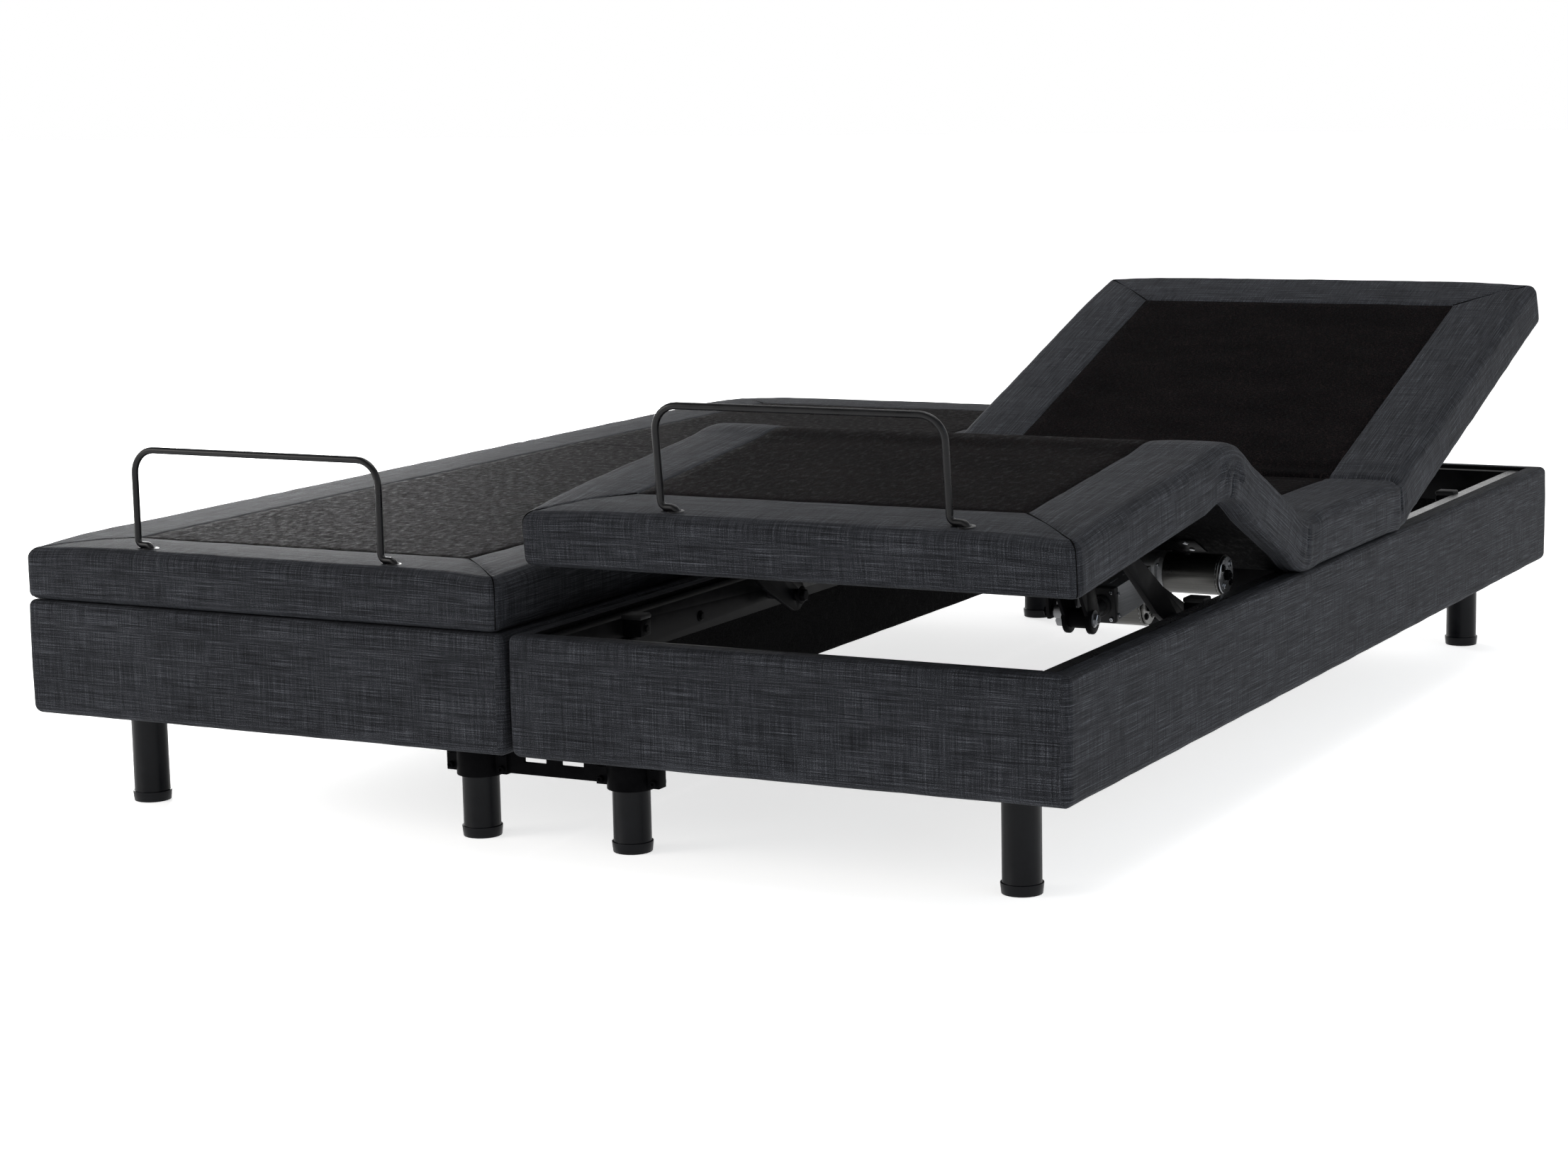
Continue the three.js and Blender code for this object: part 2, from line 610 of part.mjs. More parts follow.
function headDrive(name, headDeg) {
  const lever = rad(HEAD_LEVER_DEG + headDeg);
  const end = {
    y: HEAD_HINGE_Y + HEAD_LEVER * Math.cos(lever),
    z: HINGE_Z + HEAD_LEVER * Math.sin(lever),
  };
  const rear = HEAD_DRIVE_REAR;
  const long = Math.hypot(end.y - rear.y, end.z - rear.z);
  const tilt = rad(HEAD_DRIVE_TILT_DEG);
  const eye = { y: rear.y + long * Math.cos(tilt), z: rear.z + long * Math.sin(tilt) };
  const body = part(`${name}_head_actuator`, actuatorBody(1, HEAD_PROFILE_END), profileGrey());
  const rod = part(`${name}_head_actuator_rod`, actuatorRod(1, HEAD_ROD_LONG), rodSilver());
  return rigid(place(body, rear.y, rear.z, 0, tilt), place(rod, eye.y, eye.z, 0, tilt));
}

function legDrive(name, pose) {
  const { rear, fork } = pose;
  const tilt = -Math.atan2(fork.z - rear.z, rear.y - fork.y);
  const body = part(`${name}_leg_actuator`, actuatorBody(-1, LEG_PROFILE_END), profileGrey());
  const rod = part(`${name}_leg_actuator_rod`, actuatorRod(-1, LEG_ROD_LONG), rodSilver());
  return rigid(
    place(body, rear.y, rear.z, LEG_DRIVE_X, tilt),
    place(rod, fork.y, fork.z, LEG_DRIVE_X, tilt),
  );
}

function kneeArms(name, pose) {
  const tip = { y: pose.guide.y - LINK_PIVOT.y, z: pose.guide.z - LINK_PIVOT.z };
  const arms = rigid(
    place(part(`${name}_lift_arm_a`, boomerangArm(tip), blackSteel()), 0, 0, LINK_X),
    place(part(`${name}_lift_arm_b`, boomerangArm(tip), blackSteel()), 0, 0, -LINK_X),
  );
  return place(arms, LINK_PIVOT.y, LINK_PIVOT.z);
}

function unit(name, side, rest) {
  const pose = liftPose(rest.thigh);
  const head = rigid(
    part(`${name}_head_panel`, panel(headPoints, side), fabric()),
    part(`${name}_head_lever`, headLever(), blackSteel()),
  );
  const thigh = rigid(
    part(`${name}_thigh_panel`, panel(thighPoints, side), fabric()),
    part(`${name}_thigh_clevis`, thighClevis(), blackSteel()),
  );
  const barMesh = part(`${name}_retainer_bar`, retainerBar(), blackSteel());
  const foot = rigid(
    part(`${name}_foot_panel`, panel(footPoints, side), fabric()),
    part(`${name}_knee_lift_bar`, kneeLiftBar(), blackSteel()),
    place(barMesh, -FOOT_LENGTH + BAR.inset, ABOVE_HINGE, side * BAR.offset),
  );
  const seat = part(`${name}_seat_panel`, panel(seatPoints, side), fabric());
  const assembly = rigid(
    baseParts(name),
    place(seat, 0, HINGE_Z),
    place(head, HEAD_HINGE_Y, HINGE_Z, 0, rad(rest.head)),
    place(thigh, THIGH_HINGE_Y, HINGE_Z, 0, -rad(rest.thigh)),
    place(foot, pose.knee.y, pose.knee.z, 0, -pose.foot),
    headDrive(name, rest.head),
    legDrive(name, pose),
    kneeArms(name, pose),
  );
  assembly.position.x = side * (WIDTH + UNIT_GAP) / 2;
  return assembly;
}

const group = new THREE.Group();
group.add(unit('right', 1, REST.right));
group.add(unit('left', -1, REST.left));
const connectorY = LENGTH / 2 - LEG_INSET_Y;
group.add(part('foot_leg_connector', legConnector(-connectorY), blackSteel()));
group.add(part('head_leg_connector', legConnector(connectorY), blackSteel()));

export default group;
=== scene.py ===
# Looks for the adjustable bed base: upholstery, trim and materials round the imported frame.
# Metres, +Z up, +Y towards the head. Each unit is dressed by the same functions.
import json
import math

import bmesh
import bpy
import numpy as np
from mathutils import Matrix, Vector

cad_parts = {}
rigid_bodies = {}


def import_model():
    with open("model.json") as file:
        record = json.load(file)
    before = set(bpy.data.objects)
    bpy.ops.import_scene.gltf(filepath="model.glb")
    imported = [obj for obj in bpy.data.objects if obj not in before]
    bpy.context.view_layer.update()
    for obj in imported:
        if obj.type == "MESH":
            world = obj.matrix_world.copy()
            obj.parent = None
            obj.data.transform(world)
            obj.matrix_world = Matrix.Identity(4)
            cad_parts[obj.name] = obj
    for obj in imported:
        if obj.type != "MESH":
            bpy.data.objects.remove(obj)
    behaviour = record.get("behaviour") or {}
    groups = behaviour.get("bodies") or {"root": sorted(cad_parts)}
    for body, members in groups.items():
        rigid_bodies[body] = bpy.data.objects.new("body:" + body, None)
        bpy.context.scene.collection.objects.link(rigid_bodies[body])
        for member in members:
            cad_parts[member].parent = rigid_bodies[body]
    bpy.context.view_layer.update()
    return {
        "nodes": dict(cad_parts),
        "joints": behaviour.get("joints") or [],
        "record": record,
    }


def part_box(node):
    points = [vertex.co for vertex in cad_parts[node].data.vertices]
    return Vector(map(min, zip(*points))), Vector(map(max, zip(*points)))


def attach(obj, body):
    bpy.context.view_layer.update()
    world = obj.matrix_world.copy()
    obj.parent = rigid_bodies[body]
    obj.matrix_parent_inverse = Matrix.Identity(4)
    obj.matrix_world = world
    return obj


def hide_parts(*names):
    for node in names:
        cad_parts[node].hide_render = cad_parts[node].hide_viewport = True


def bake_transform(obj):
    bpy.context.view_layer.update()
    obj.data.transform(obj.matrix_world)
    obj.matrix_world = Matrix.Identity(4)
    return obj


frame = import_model()

MM = 0.001
SIDES = {"right": 1, "left": -1}
CORNERS = ((-1, -1), (-1, 1), (1, -1), (1, 1))
X_AXIS = Vector((1, 0, 0))
Y_AXIS = Vector((0, 1, 0))
Z_AXIS = Vector((0, 0, 1))

# Upholstery of the deck panels: edges, borders, seams and bends.
BORDER = 110 * MM
TOP_RADIUS = 15 * MM
BOTTOM_RADIUS = 12 * MM
CORNER_RADIUS = 16 * MM
SEAM_HALF = 1.6 * MM
SEAM_DEPTH = 1.7 * MM
MITRE_DEPTH = 1.3 * MM
THREAD_RADIUS = 0.9 * MM
WRAP_UNDER = 26 * MM
CLOTHS = {"border": 0, "field": 1, "lining": 2}
CORNER_DROOP = 5 * MM
DROOP_REACH = 75 * MM
BEND_LONG = {"head": 110 * MM, "thigh": 156 * MM, "foot": 176 * MM}
FOLD_ROUNDS = 120
LEAF_OFFSET = {"head": 118 * MM, "thigh": 104 * MM, "knee": 100 * MM}

# Its lattice: steps round an edge, lines along a border and a seam, and the size of a cell.
ROUND_STEPS = (0, 0.1, 0.24, 0.42, 0.62, 0.82, 1)
LOW_ROUND_STEPS = (0, 0.3, 0.65, 1)
BORDER_LINES = 15
SEAM_STEPS = {"border": 40, "wall": 30}
SLIT_LINES = [0, 1.2 * MM, 3 * MM]
HINGE_FROM = 6 * MM
CELL = {"across": 16 * MM, "along": 15 * MM, "hinge": 4.4 * MM, "height": 5 * MM}

# Its unevenness, and the seed of each draw of it.
UNEVEN = 0.5 * MM
BORDER_CROWN = 1.8 * MM
WALL_BULGE = 0.9 * MM
CUT_FADE = 50 * MM
HEM = {"sag": 1.9 * MM, "high": 26 * MM, "near": 130 * MM}
WAVE_LENGTHS = (0.31, 0.17, 0.11, 0.067)
SEEDS = {"head": 3, "thigh": 5, "foot": 8, "left": 20, "hem": 31, "hem_near": 12, "rail": 41}

# Its marks at the hinges in millimetres, as (size, distance from the line, width).
CREASED_FROM = 0.3
SLIT = {"head": (-2.4, 0, 2), "thigh": (-4.6, 0, 1.9), "foot": (-5.0, 0, 2.2)}
SLIT_RISE = {"head": (0.35, 0.95), "thigh": (0.34, 0.84), "foot": (-0.1, 0.5)}
SWELL = {"head": (1.8, 22, 12), "thigh": (2.0, 14, 8), "foot": (1.6, 14, 8)}
TUCKS = {"head": (0.9, 0, 26), "thigh": (0.8, 0, 34)}
THIGH_CREASE = (-2.0, 0, 12)
KNEE_ARCS = ((3.0, 25, 4.6), (-3.6, 16, 3.2))
KNEE_RIDGE = (1.2, 17, 6)

# Threads of the cloths, as (scale along and across, shift, detail, roughness, share).
WEAVE_PITCH = 1.5 * MM
LINEN_THREADS = {
    "slub": ((7, 600, 1), (0, 0, 0), 1, 0.5, 0.42),
    "slub_fine": ((21, 1250, 1), (3, 1, 5), 1, 0.5, 0.52),
    "across": ((560, 8, 1), (7, 2, 9), 1, 0.5, 0.2),
    "across_fine": ((1150, 26, 1), (2, 6, 4), 1, 0.5, 0.34),
    "speck": ((1100, 1100, 1), (1, 8, 3), 0, 0.5, 0.52),
    "cloud": ((5, 9, 1), (5, 5, 1), 1, 0.5, 0.06),
}
FELT_FIBRES = {
    "fibre": ((240, 700, 1), (0, 0, 0), 2, 0.6, 0.38),
    "lint": ((640, 260, 1), (4, 4, 4), 2, 0.6, 0.38),
    "tuft": ((130, 60, 1), (6, 2, 8), 2, 0.7, 0.34),
    "cloud": ((9, 14, 1), (0, 0, 0), 3, 0.5, 0.12),
}

# Upholstery of the rails.
RAIL_CORNER = 11 * MM
RAIL_RADII = {"top_out": 9 * MM, "top_in": 5 * MM, "low_in": 4 * MM, "low_out": 12 * MM}
RAIL_STEPS = {"edge": 7, "corner": 8}
RAIL_CELL = {"girth": 9 * MM, "run": 22 * MM, "corner_gap": 38 * MM}
RAIL_WOBBLE = 0.7 * MM
RAIL_SKIN = 20 * MM

# The retainer bar, and how far its feet turn aside before they go down through the cover.
BAR_RADIUS = 4.5 * MM
BAR_BENDS = [bend * MM for bend in (6, 8, 32, 32, 8, 6)]
BEND_STEPS = 8
FOOT_TURN = 20 * MM

# Half of a linkage pin's length, and the pins' radii in the rod ends and at the rear.
PIN_HALF = 18.5 * MM
EYE_PIN = 5 * MM
REAR_PIN = 4.6 * MM

# Bolts of the frame: in the cross tubes, along the rails, and in the leg plates.
TUBE_WIDE = 24 * MM
CROSS_HALF = 20 * MM
BOLT_ASIDE = 32 * MM
RAIL_BOLTS = (-0.86, -0.62, 0.62, 0.86)
LEG_PLACE = (270 * MM, 904 * MM)
PLATE_FACE = 6.3 * MM

# Rest blocks, as (side, place along the frame), and the hinge leaves across a panel.
REST_BLOCKS = ((-1, -0.81), (-1, 0.43), (-1, 0.675), (1, -0.43), (1, 0.675))
REST_INSET = 37 * MM
LEAF_PLACES = (-250 * MM, -90 * MM, 90 * MM, 250 * MM)

# Ears of the leg connector's clamps: their tip and middle from the leg, their face from the band.
EAR_REACH = 46 * MM
EAR_MIDDLE = 39 * MM
EAR_FRONT = 22 * MM

# The camera that was fitted to the photograph, and the sky's fade upwards.
CAMERA = {"lens": 76.7, "place": (2.2370, -4.4683, 1.00405), "turn": (28.04, 9.18, -1.18)}
SKY_FADE = ((0.34, 1.0), (0.66, 0.25))


# ---------------------------------------------------------------- kinematics
JOINTS = {joint["name"]: joint for joint in frame["joints"]}
MOVED_BY = {joint["child"]: joint for joint in frame["joints"]}
COUPLINGS = {c["joint"]: c for c in frame["record"]["behaviour"]["couplings"]}


def flat_value(name):
    """The value of a joint at which its unit's deck lies flat."""
    if name in COUPLINGS:
        coupling = COUPLINGS[name]
        return coupling["ratio"] * flat_value(coupling["follows"])
    return math.radians(JOINTS[name]["range_deg"][0])


def flat_matrix(body):
    """Takes a body from rest to its place when the deck lies flat."""
    if body not in MOVED_BY:
        return Matrix.Identity(4)
    joint = MOVED_BY[body]
    axis = Vector(joint["axis"])
    value = flat_value(joint["name"])
    if joint["type"] == "slide":
        move = Matrix.Translation(axis * value)
    else:
        pivot = Matrix.Translation(joint["pos_m"])
        move = pivot @ Matrix.Rotation(value, 4, axis) @ pivot.inverted()
    return flat_matrix(joint["parent"]) @ move


def rest_matrix(body):
    return flat_matrix(body).inverted()


def pivot_of(name):
    return Vector(JOINTS[name]["pos_m"])


class Unit:
    """Places of one unit's deck when it lies flat, read from the frame."""

    def __init__(self, name, side):
        self.name = name
        self.side = side
        low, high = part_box(f"{name}_seat_panel")
        self.x = (low.x, high.x)
        self.z = (low.z, high.z)
        self.middle = pivot_of(f"{name}_head_hinge").x
        self.foot_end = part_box("left_foot_panel")[0].y
        self.head_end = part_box("left_head_panel")[1].y
        self.head_hinge = pivot_of(f"{name}_head_hinge").y
        self.thigh_hinge = pivot_of(f"{name}_thigh_hinge").y
        knee = pivot_of(f"{name}_knee_hinge") - pivot_of(f"{name}_thigh_hinge")
        self.knee = self.thigh_hinge - knee.length
        self.mid_seat = (self.head_hinge + self.thigh_hinge) / 2
        self.mid_thigh = (self.thigh_hinge + self.knee) / 2


# ------------------------------------------------------------------ materials
class Nodes:
    """A material's node tree, built a node at a time."""

    def __init__(self, name, **sockets):
        self.material = bpy.data.materials.new(name)
        self.material.use_nodes = True
        self.tree = self.material.node_tree
        self.shader = self.tree.nodes["Principled BSDF"]
        for socket, value in sockets.items():
            self.shader.inputs[socket.replace("_", " ")].default_value = value

    def add(self, kind, inputs=None, **settings):
        node = self.tree.nodes.new("ShaderNode" + kind)
        for key, value in settings.items():
            setattr(node, key, value)
        for key, value in (inputs or {}).items():
            self.feed(node.inputs[key], value)
        return node

    def feed(self, socket, value):
        if isinstance(value, bpy.types.NodeSocket):
            self.tree.links.new(value, socket)
        else:
            socket.default_value = value

    def math(self, operation, a, b=0.0):
        return self.add("Math", {0: a, 1: b}, operation=operation).outputs[0]

    def scaled(self, vector, factors, shift=(0, 0, 0)):
        grown = self.add("VectorMath", {0: vector, 1: factors}, operation="MULTIPLY")
        return self.add("VectorMath", {0: grown.outputs[0], 1: shift}, operation="ADD").outputs[0]

    def noise(self, vector, scale=1.0, detail=2.0, roughness=0.5):
        inputs = {"Vector": vector, "Scale": scale, "Detail": detail, "Roughness": roughness}
        return self.add("TexNoise", inputs).outputs["Fac"]

    def ramp(self, factor, stops):
        node = self.add("ValToRGB", {"Fac": factor})
        elements = node.color_ramp.elements
        while len(elements) < len(stops):
            elements.new(0.5)
        for element, (place, colour) in zip(elements, stops):
            element.position = place
            element.color = (*colour, 1)
        return node.outputs["Color"]

    def band(self, factor, low, high):
        """Maps a factor's middle range to a roughness between low and high."""
        inputs = {"Value": factor, "From Min": 0.3, "From Max": 0.7, "To Min": low, "To Max": high}
        return self.add("MapRange", inputs).outputs[0]

    def colour(self, value):
        self.feed(self.shader.inputs["Base Color"], value)

    def roughness(self, value):
        self.feed(self.shader.inputs["Roughness"], value)

    def bump(self, height, distance, strength=1.0):
        node = self.add("Bump", {"Height": height, "Distance": distance, "Strength": strength})
        self.feed(self.shader.inputs["Normal"], node.outputs["Normal"])

    def threads(self, place, table, total=0.0):
        """Adds noises to a total, each stretched, shifted and weighed by its row of a table."""
        shades = {}
        for part, (scale, shift, detail, rough, share) in table.items():
            shades[part] = self.noise(self.scaled(place, scale, shift), detail=detail, roughness=rough)
            total = self.math("ADD", total, self.math("MULTIPLY", shades[part], share))
        return total, shades

    def cloth_uv(self):
        return self.add("UVMap", uv_map="cloth").outputs["UV"]

    def place(self):
        return self.add("TexCoord").outputs["Object"]


def linen(name, mid, light, dark):
    """Heathered plain weave: uneven threads along the strip, finer ones across it."""
    n = Nodes(name, Specular_IOR_Level=0.05)
    uv = n.cloth_uv()
    split = n.add("SeparateXYZ", {0: uv})
    turn = 2 * math.pi / WEAVE_PITCH
    warp, weft = (n.math("SINE", n.math("MULTIPLY", split.outputs[axis], turn)) for axis in (0, 1))
    weave = n.math("MULTIPLY", warp, weft)
    total, shades = n.threads(uv, LINEN_THREADS, n.math("MULTIPLY", weave, 0.1))
    middle = sum(row[-1] for row in LINEN_THREADS.values()) / 2
    spread = n.add("MapRange", {"Value": total, "From Min": middle - 0.22, "From Max": middle + 0.27})
    bright = tuple(1.35 * c for c in mid)
    n.colour(n.ramp(spread.outputs[0], [(0.0, dark), (0.42, mid), (0.6, bright), (1.0, light)]))
    n.roughness(n.band(shades["speck"], 0.6, 0.74))
    height = n.math("ADD", n.math("MULTIPLY", weave, 0.5), n.math("MULTIPLY", total, 1.6))
    n.bump(height, 0.0004, 0.8)
    return n.material


def felt(name, mid, light):
    """Needled black cloth with short pale fibres that lie every way."""
    n = Nodes(name, Specular_IOR_Level=0.01)
    total, shades = n.threads(n.cloth_uv(), FELT_FIBRES)
    dark = tuple(0.5 * c for c in mid)
    n.colour(n.ramp(total, [(0.46, dark), (0.6, mid), (0.72, light)]))
    n.roughness(n.band(shades["tuft"], 0.5, 0.95))
    n.bump(total, 0.0016)
    return n.material


def coated(name, colour, rough, grain=260, depth=0.00008, gloss=0.2):
    """Powder coat or moulded plastic: fine orange peel and uneven gloss."""
    n = Nodes(name, Specular_IOR_Level=gloss)
    place = n.place()
    peel = n.noise(n.scaled(place, (grain,) * 3), detail=2)
    dust = n.noise(n.scaled(place, (34,) * 3, (2, 3, 4)), detail=4, roughness=0.65)
    pale = tuple(1.45 * c + 0.002 for c in colour)
    n.colour(n.ramp(dust, [(0.35, colour), (0.75, pale)]))
    n.roughness(n.band(dust, rough, min(1.0, rough + 0.16)))
    n.bump(peel, depth, 0.6)
    return n.material


def drawn_metal(name, colour, rough, stretch=(900, 12, 900)):
    """Bare or anodised metal with fine lines along its length."""
    n = Nodes(name, Metallic=1.0)
    place = n.place()
    lines = n.noise(n.scaled(place, stretch), detail=3)
    smear = n.noise(n.scaled(place, (22,) * 3, (1, 7, 3)), detail=4)
    dark = tuple(0.78 * c for c in colour)
    n.colour(n.ramp(lines, [(0.3, dark), (0.7, colour)]))
    n.roughness(n.band(smear, rough, rough + 0.14))
    n.bump(lines, 0.00003, 0.5)
    return n.material


LINEN = linen("charcoal_linen", (0.0186, 0.0198, 0.0232), (0.104, 0.109, 0.124), (0.003, 0.0033, 0.0042))
FELT = felt("black_field_felt", (0.0015, 0.0013, 0.0016), (0.013, 0.0102, 0.0102))
DUST_COVER = felt("black_dust_cover", (0.0028, 0.0028, 0.003), (0.009, 0.009, 0.0095))
STITCH = coated("stitch_thread", (0.002, 0.002, 0.0022), 0.8, gloss=0.02)
STEEL = coated("black_powder_coat", (0.003, 0.003, 0.0034), 0.3, depth=0.00003, gloss=0.05)
# The right side tube's coat is the same black paint, made five times lighter. The lighter colour is a
# painted reflection of the pale backdrop along its top, and the high gloss adds a real one.
PAINTED_REFLECTION_STEEL = coated("worn_powder_coat", (0.016, 0.016, 0.017), 0.22, depth=0.00003, gloss=0.7)
LINK_STEEL = coated("black_satin_powder_coat", (0.0014, 0.0014, 0.0018), 0.3, gloss=0.014)
BAR_PAINT = coated("bar_gloss_paint", (0.003, 0.003, 0.0036), 0.22, gloss=0.22)
LEG_PAINT = coated("satin_leg_paint", (0.0022, 0.0025, 0.0036), 0.27, grain=420, depth=0.00005, gloss=0.13)
RUBBER = coated("black_rubber", (0.006, 0.006, 0.0065), 0.55, grain=700)
PLASTIC = coated("box_plastic", (0.008, 0.008, 0.009), 0.45, grain=1100, depth=0.0001)
PROFILE = drawn_metal("anodised_profile", (0.3, 0.305, 0.315), 0.46)
ROD = drawn_metal("turned_rod_steel", (0.17, 0.175, 0.185), 0.24, stretch=(1400, 60, 60))
MOTOR_CAN = drawn_metal("dark_motor_can", (0.105, 0.104, 0.1), 0.26, stretch=(12, 900, 900))
CHROME = drawn_metal("zinc_plate", (0.36, 0.37, 0.39), 0.2, stretch=(300, 300, 300))


# --------------------------------------------------------------- mesh helpers
def new_object(name, mesh, materials):
    piece = bpy.data.objects.new(name, mesh)
    bpy.context.scene.collection.objects.link(piece)
    for material in materials:
        mesh.materials.append(material)
    return piece


def cloth_mesh(name, points, faces, uvs, slots):
    """A smooth mesh with its cloth's run in metres as its texture place."""
    mesh = bpy.data.meshes.new(name)
    mesh.from_pydata(points, [], faces)
    layer = mesh.uv_layers.new(name="cloth")
    layer.data.foreach_set("uv", np.array(uvs, np.float32).ravel())
    mesh.polygons.foreach_set("material_index", slots)
    mesh.polygons.foreach_set("use_smooth", [True] * len(faces))
    return mesh


def along(axis, origin=(0, 0, 0), up=None):
    """A matrix whose local Z lies along an axis and whose local X lies along up, if it is given."""
    z = Vector(axis).normalized()
    guess = Vector(up) if up is not None else (X_AXIS if abs(z.x) < 0.8 else Y_AXIS)
    y = z.cross(guess).normalized()
    x = y.cross(z)
    turned = Matrix((x, y, z)).transposed().to_4x4()
    return Matrix.Translation(origin) @ turned


def in_mm(pairs):
    return [(a * MM, b * MM) for a, b in pairs]


def circle(sides):
    """The cosine and sine of even turns round a circle."""
    turns = [2 * math.pi * i / sides for i in range(sides)]
    return [(math.cos(turn), math.sin(turn)) for turn in turns]


class Metalwork:
    """Collects turned, boxed and bent parts, each with a material, into one piece."""

    def __init__(self):
        self.mesh = bmesh.new()
        self.materials = []

    def keep(self, part, matrix, material):
        if material not in self.materials:
            self.materials.append(material)
        index = self.materials.index(material)
        for face in part.faces:
            face.material_index = index
            face.smooth = True
        bmesh.ops.transform(part, matrix=matrix, verts=part.verts)
        if matrix.determinant() < 0:
            bmesh.ops.reverse_faces(part, faces=part.faces)
        spare = bpy.data.meshes.new("spare")
        part.to_mesh(spare)
        part.free()
        self.mesh.from_mesh(spare)
        bpy.data.meshes.remove(spare)

    def turned(self, profile, matrix, material, sides=40):
        """Turns a profile of (radius, height) points about the local Z axis."""
        part = bmesh.new()
        rings = []
        for radius, height in profile:
            if radius < 1e-7:
                rings.append([part.verts.new((0, 0, height))])
            else:
                rings.append([part.verts.new((radius * c, radius * s, height)) for c, s in circle(sides)])
        for low, high in zip(rings, rings[1:]):
            for i in range(sides):
                j = (i + 1) % sides
                corners = [low[i % len(low)], low[j % len(low)], high[j % len(high)], high[i % len(high)]]
                unique = list(dict.fromkeys(corners))
                if len(unique) > 2:
                    part.faces.new(unique)
        for ring in (rings[0], rings[-1]):
            if len(ring) > 1:
                part.faces.new(ring)
        bmesh.ops.recalc_face_normals(part, faces=part.faces)
        self.keep(part, matrix, material)

    def block(self, size, matrix, material, bevel=0.6 * MM):
        part = bmesh.new()
        bmesh.ops.create_cube(part, size=1)
        bmesh.ops.scale(part, vec=size, verts=part.verts)
        bmesh.ops.bevel(part, geom=part.edges[:], offset=bevel, segments=2, affect="EDGES", profile=0.5)
        self.keep(part, matrix, material)

    def rod(self, path, radius, material, sides=20, matrix=Matrix.Identity(4)):
        """A round rod along a smooth path, with eased ends."""
        points = [Vector(p) for p in path]
        part = bmesh.new()
        normal = (points[1] - points[0]).orthogonal().normalized()
        rings = []
        for i, point in enumerate(points):
            ahead = points[min(i + 1, len(points) - 1)] - points[max(i - 1, 0)]
            ahead.normalize()
            normal = (normal - ahead * normal.dot(ahead)).normalized()
            side = ahead.cross(normal)
            ring = [point + radius * (normal * c + side * s) for c, s in circle(sides)]
            rings.append([part.verts.new(spot) for spot in ring])
        for low, high in zip(rings, rings[1:]):
            for i in range(sides):
                j = (i + 1) % sides
                part.faces.new((low[i], low[j], high[j], high[i]))
        caps = [part.faces.new(rings[0]), part.faces.new(rings[-1])]
        bmesh.ops.recalc_face_normals(part, faces=part.faces)
        rims = list({edge for cap in caps for edge in cap.edges})
        bmesh.ops.bevel(part, geom=rims, offset=radius * 0.2, segments=2, affect="EDGES", profile=0.5)
        self.keep(part, matrix, material)

    def bolt(self, place, axis, across, material):
        """A hexagon head on a washer, standing out along axis."""
        high = across * 0.45
        radius = across / math.sqrt(3)
        washer = [(0, 0), (across * 0.82, 0), (across * 0.85, 0.3 * MM), (across * 0.85, 1.2 * MM)]
        washer += [(across * 0.8, 1.5 * MM), (0, 1.5 * MM)]
        matrix = along(axis, place)
        self.turned(washer, matrix, material, sides=28)
        head = [(0, 1.4 * MM), (radius, 1.4 * MM), (radius, high), (radius * 0.86, high + across * 0.07)]
        head += [(0, high + across * 0.09)]
        self.turned(head, matrix, material, sides=6)

    def socket_screw(self, place, axis, radius, material):
        """A round cap screw with a hollow in its head."""
        high = radius * 1.1
        profile = [(0, 0), (radius, 0), (radius, high * 0.8), (radius * 0.82, high)]
        profile += [(radius * 0.5, high), (radius * 0.46, high * 0.45), (0, high * 0.4)]
        self.turned(profile, along(axis, place), material, sides=28)

    def finish(self, name, body):
        mesh = bpy.data.meshes.new(name)
        self.mesh.to_mesh(mesh)
        self.mesh.free()
        piece = new_object(name, mesh, self.materials)
        mesh.set_sharp_from_angle(angle=math.radians(34))
        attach(piece, body)
        return piece


# ----------------------------------------------------------- upholstered deck
def edge_lines():
    """Distances from a panel's edge: close round the edge, then even, then the border seam."""
    rounding = [TOP_RADIUS * step for step in ROUND_STEPS]
    border = list(np.linspace(CORNER_RADIUS, BORDER - SEAM_HALF, BORDER_LINES))
    return rounding + border + [BORDER, BORDER + SEAM_HALF]


def spread(start, stop, step):
    count = max(1, round(abs(stop - start) / step))
    return list(np.linspace(start, stop, count + 1))


def across_lines(low, high):
    edge = edge_lines()
    inner = spread(low + edge[-1], high - edge[-1], CELL["across"])
    return sorted([low + e for e in edge] + inner[1:-1] + [high - e for e in edge])


def hinge_lines(hinge, reach):
    """Lines close together near a hinge, for its crease and slit."""
    fine = SLIT_LINES + spread(HINGE_FROM, reach, CELL["hinge"])
    return [hinge - f for f in reversed(fine[1:])] + [hinge + f for f in fine]


def length_lines(low, high, hinge, reach, low_capped, high_capped):
    lines = hinge_lines(hinge, reach)
    edge = edge_lines()
    start = [low + e for e in edge] if low_capped else [low]
    stop = [high - e for e in reversed(edge)] if high_capped else [high]
    before = spread(start[-1], lines[0], CELL["along"])[1:-1]
    after = spread(lines[-1], stop[0], CELL["along"])[1:-1]
    return start + before + lines + after + stop


def height_lines(low, high):
    rounding = [low + BOTTOM_RADIUS * step for step in LOW_ROUND_STEPS]
    middle = spread(low + BOTTOM_RADIUS, high - TOP_RADIUS, CELL["height"])[1:-1]
    return rounding + middle + [high - TOP_RADIUS * step for step in reversed(ROUND_STEPS)]


def square_to_round(u, v, radius):
    """Maps points on two sides of a square to its quarter circle."""
    length = np.maximum(np.hypot(u, v), 1e-9)
    inside = (u > 0) & (v > 0)
    return np.where(inside, radius * u / length, u), np.where(inside, radius * v / length, v)


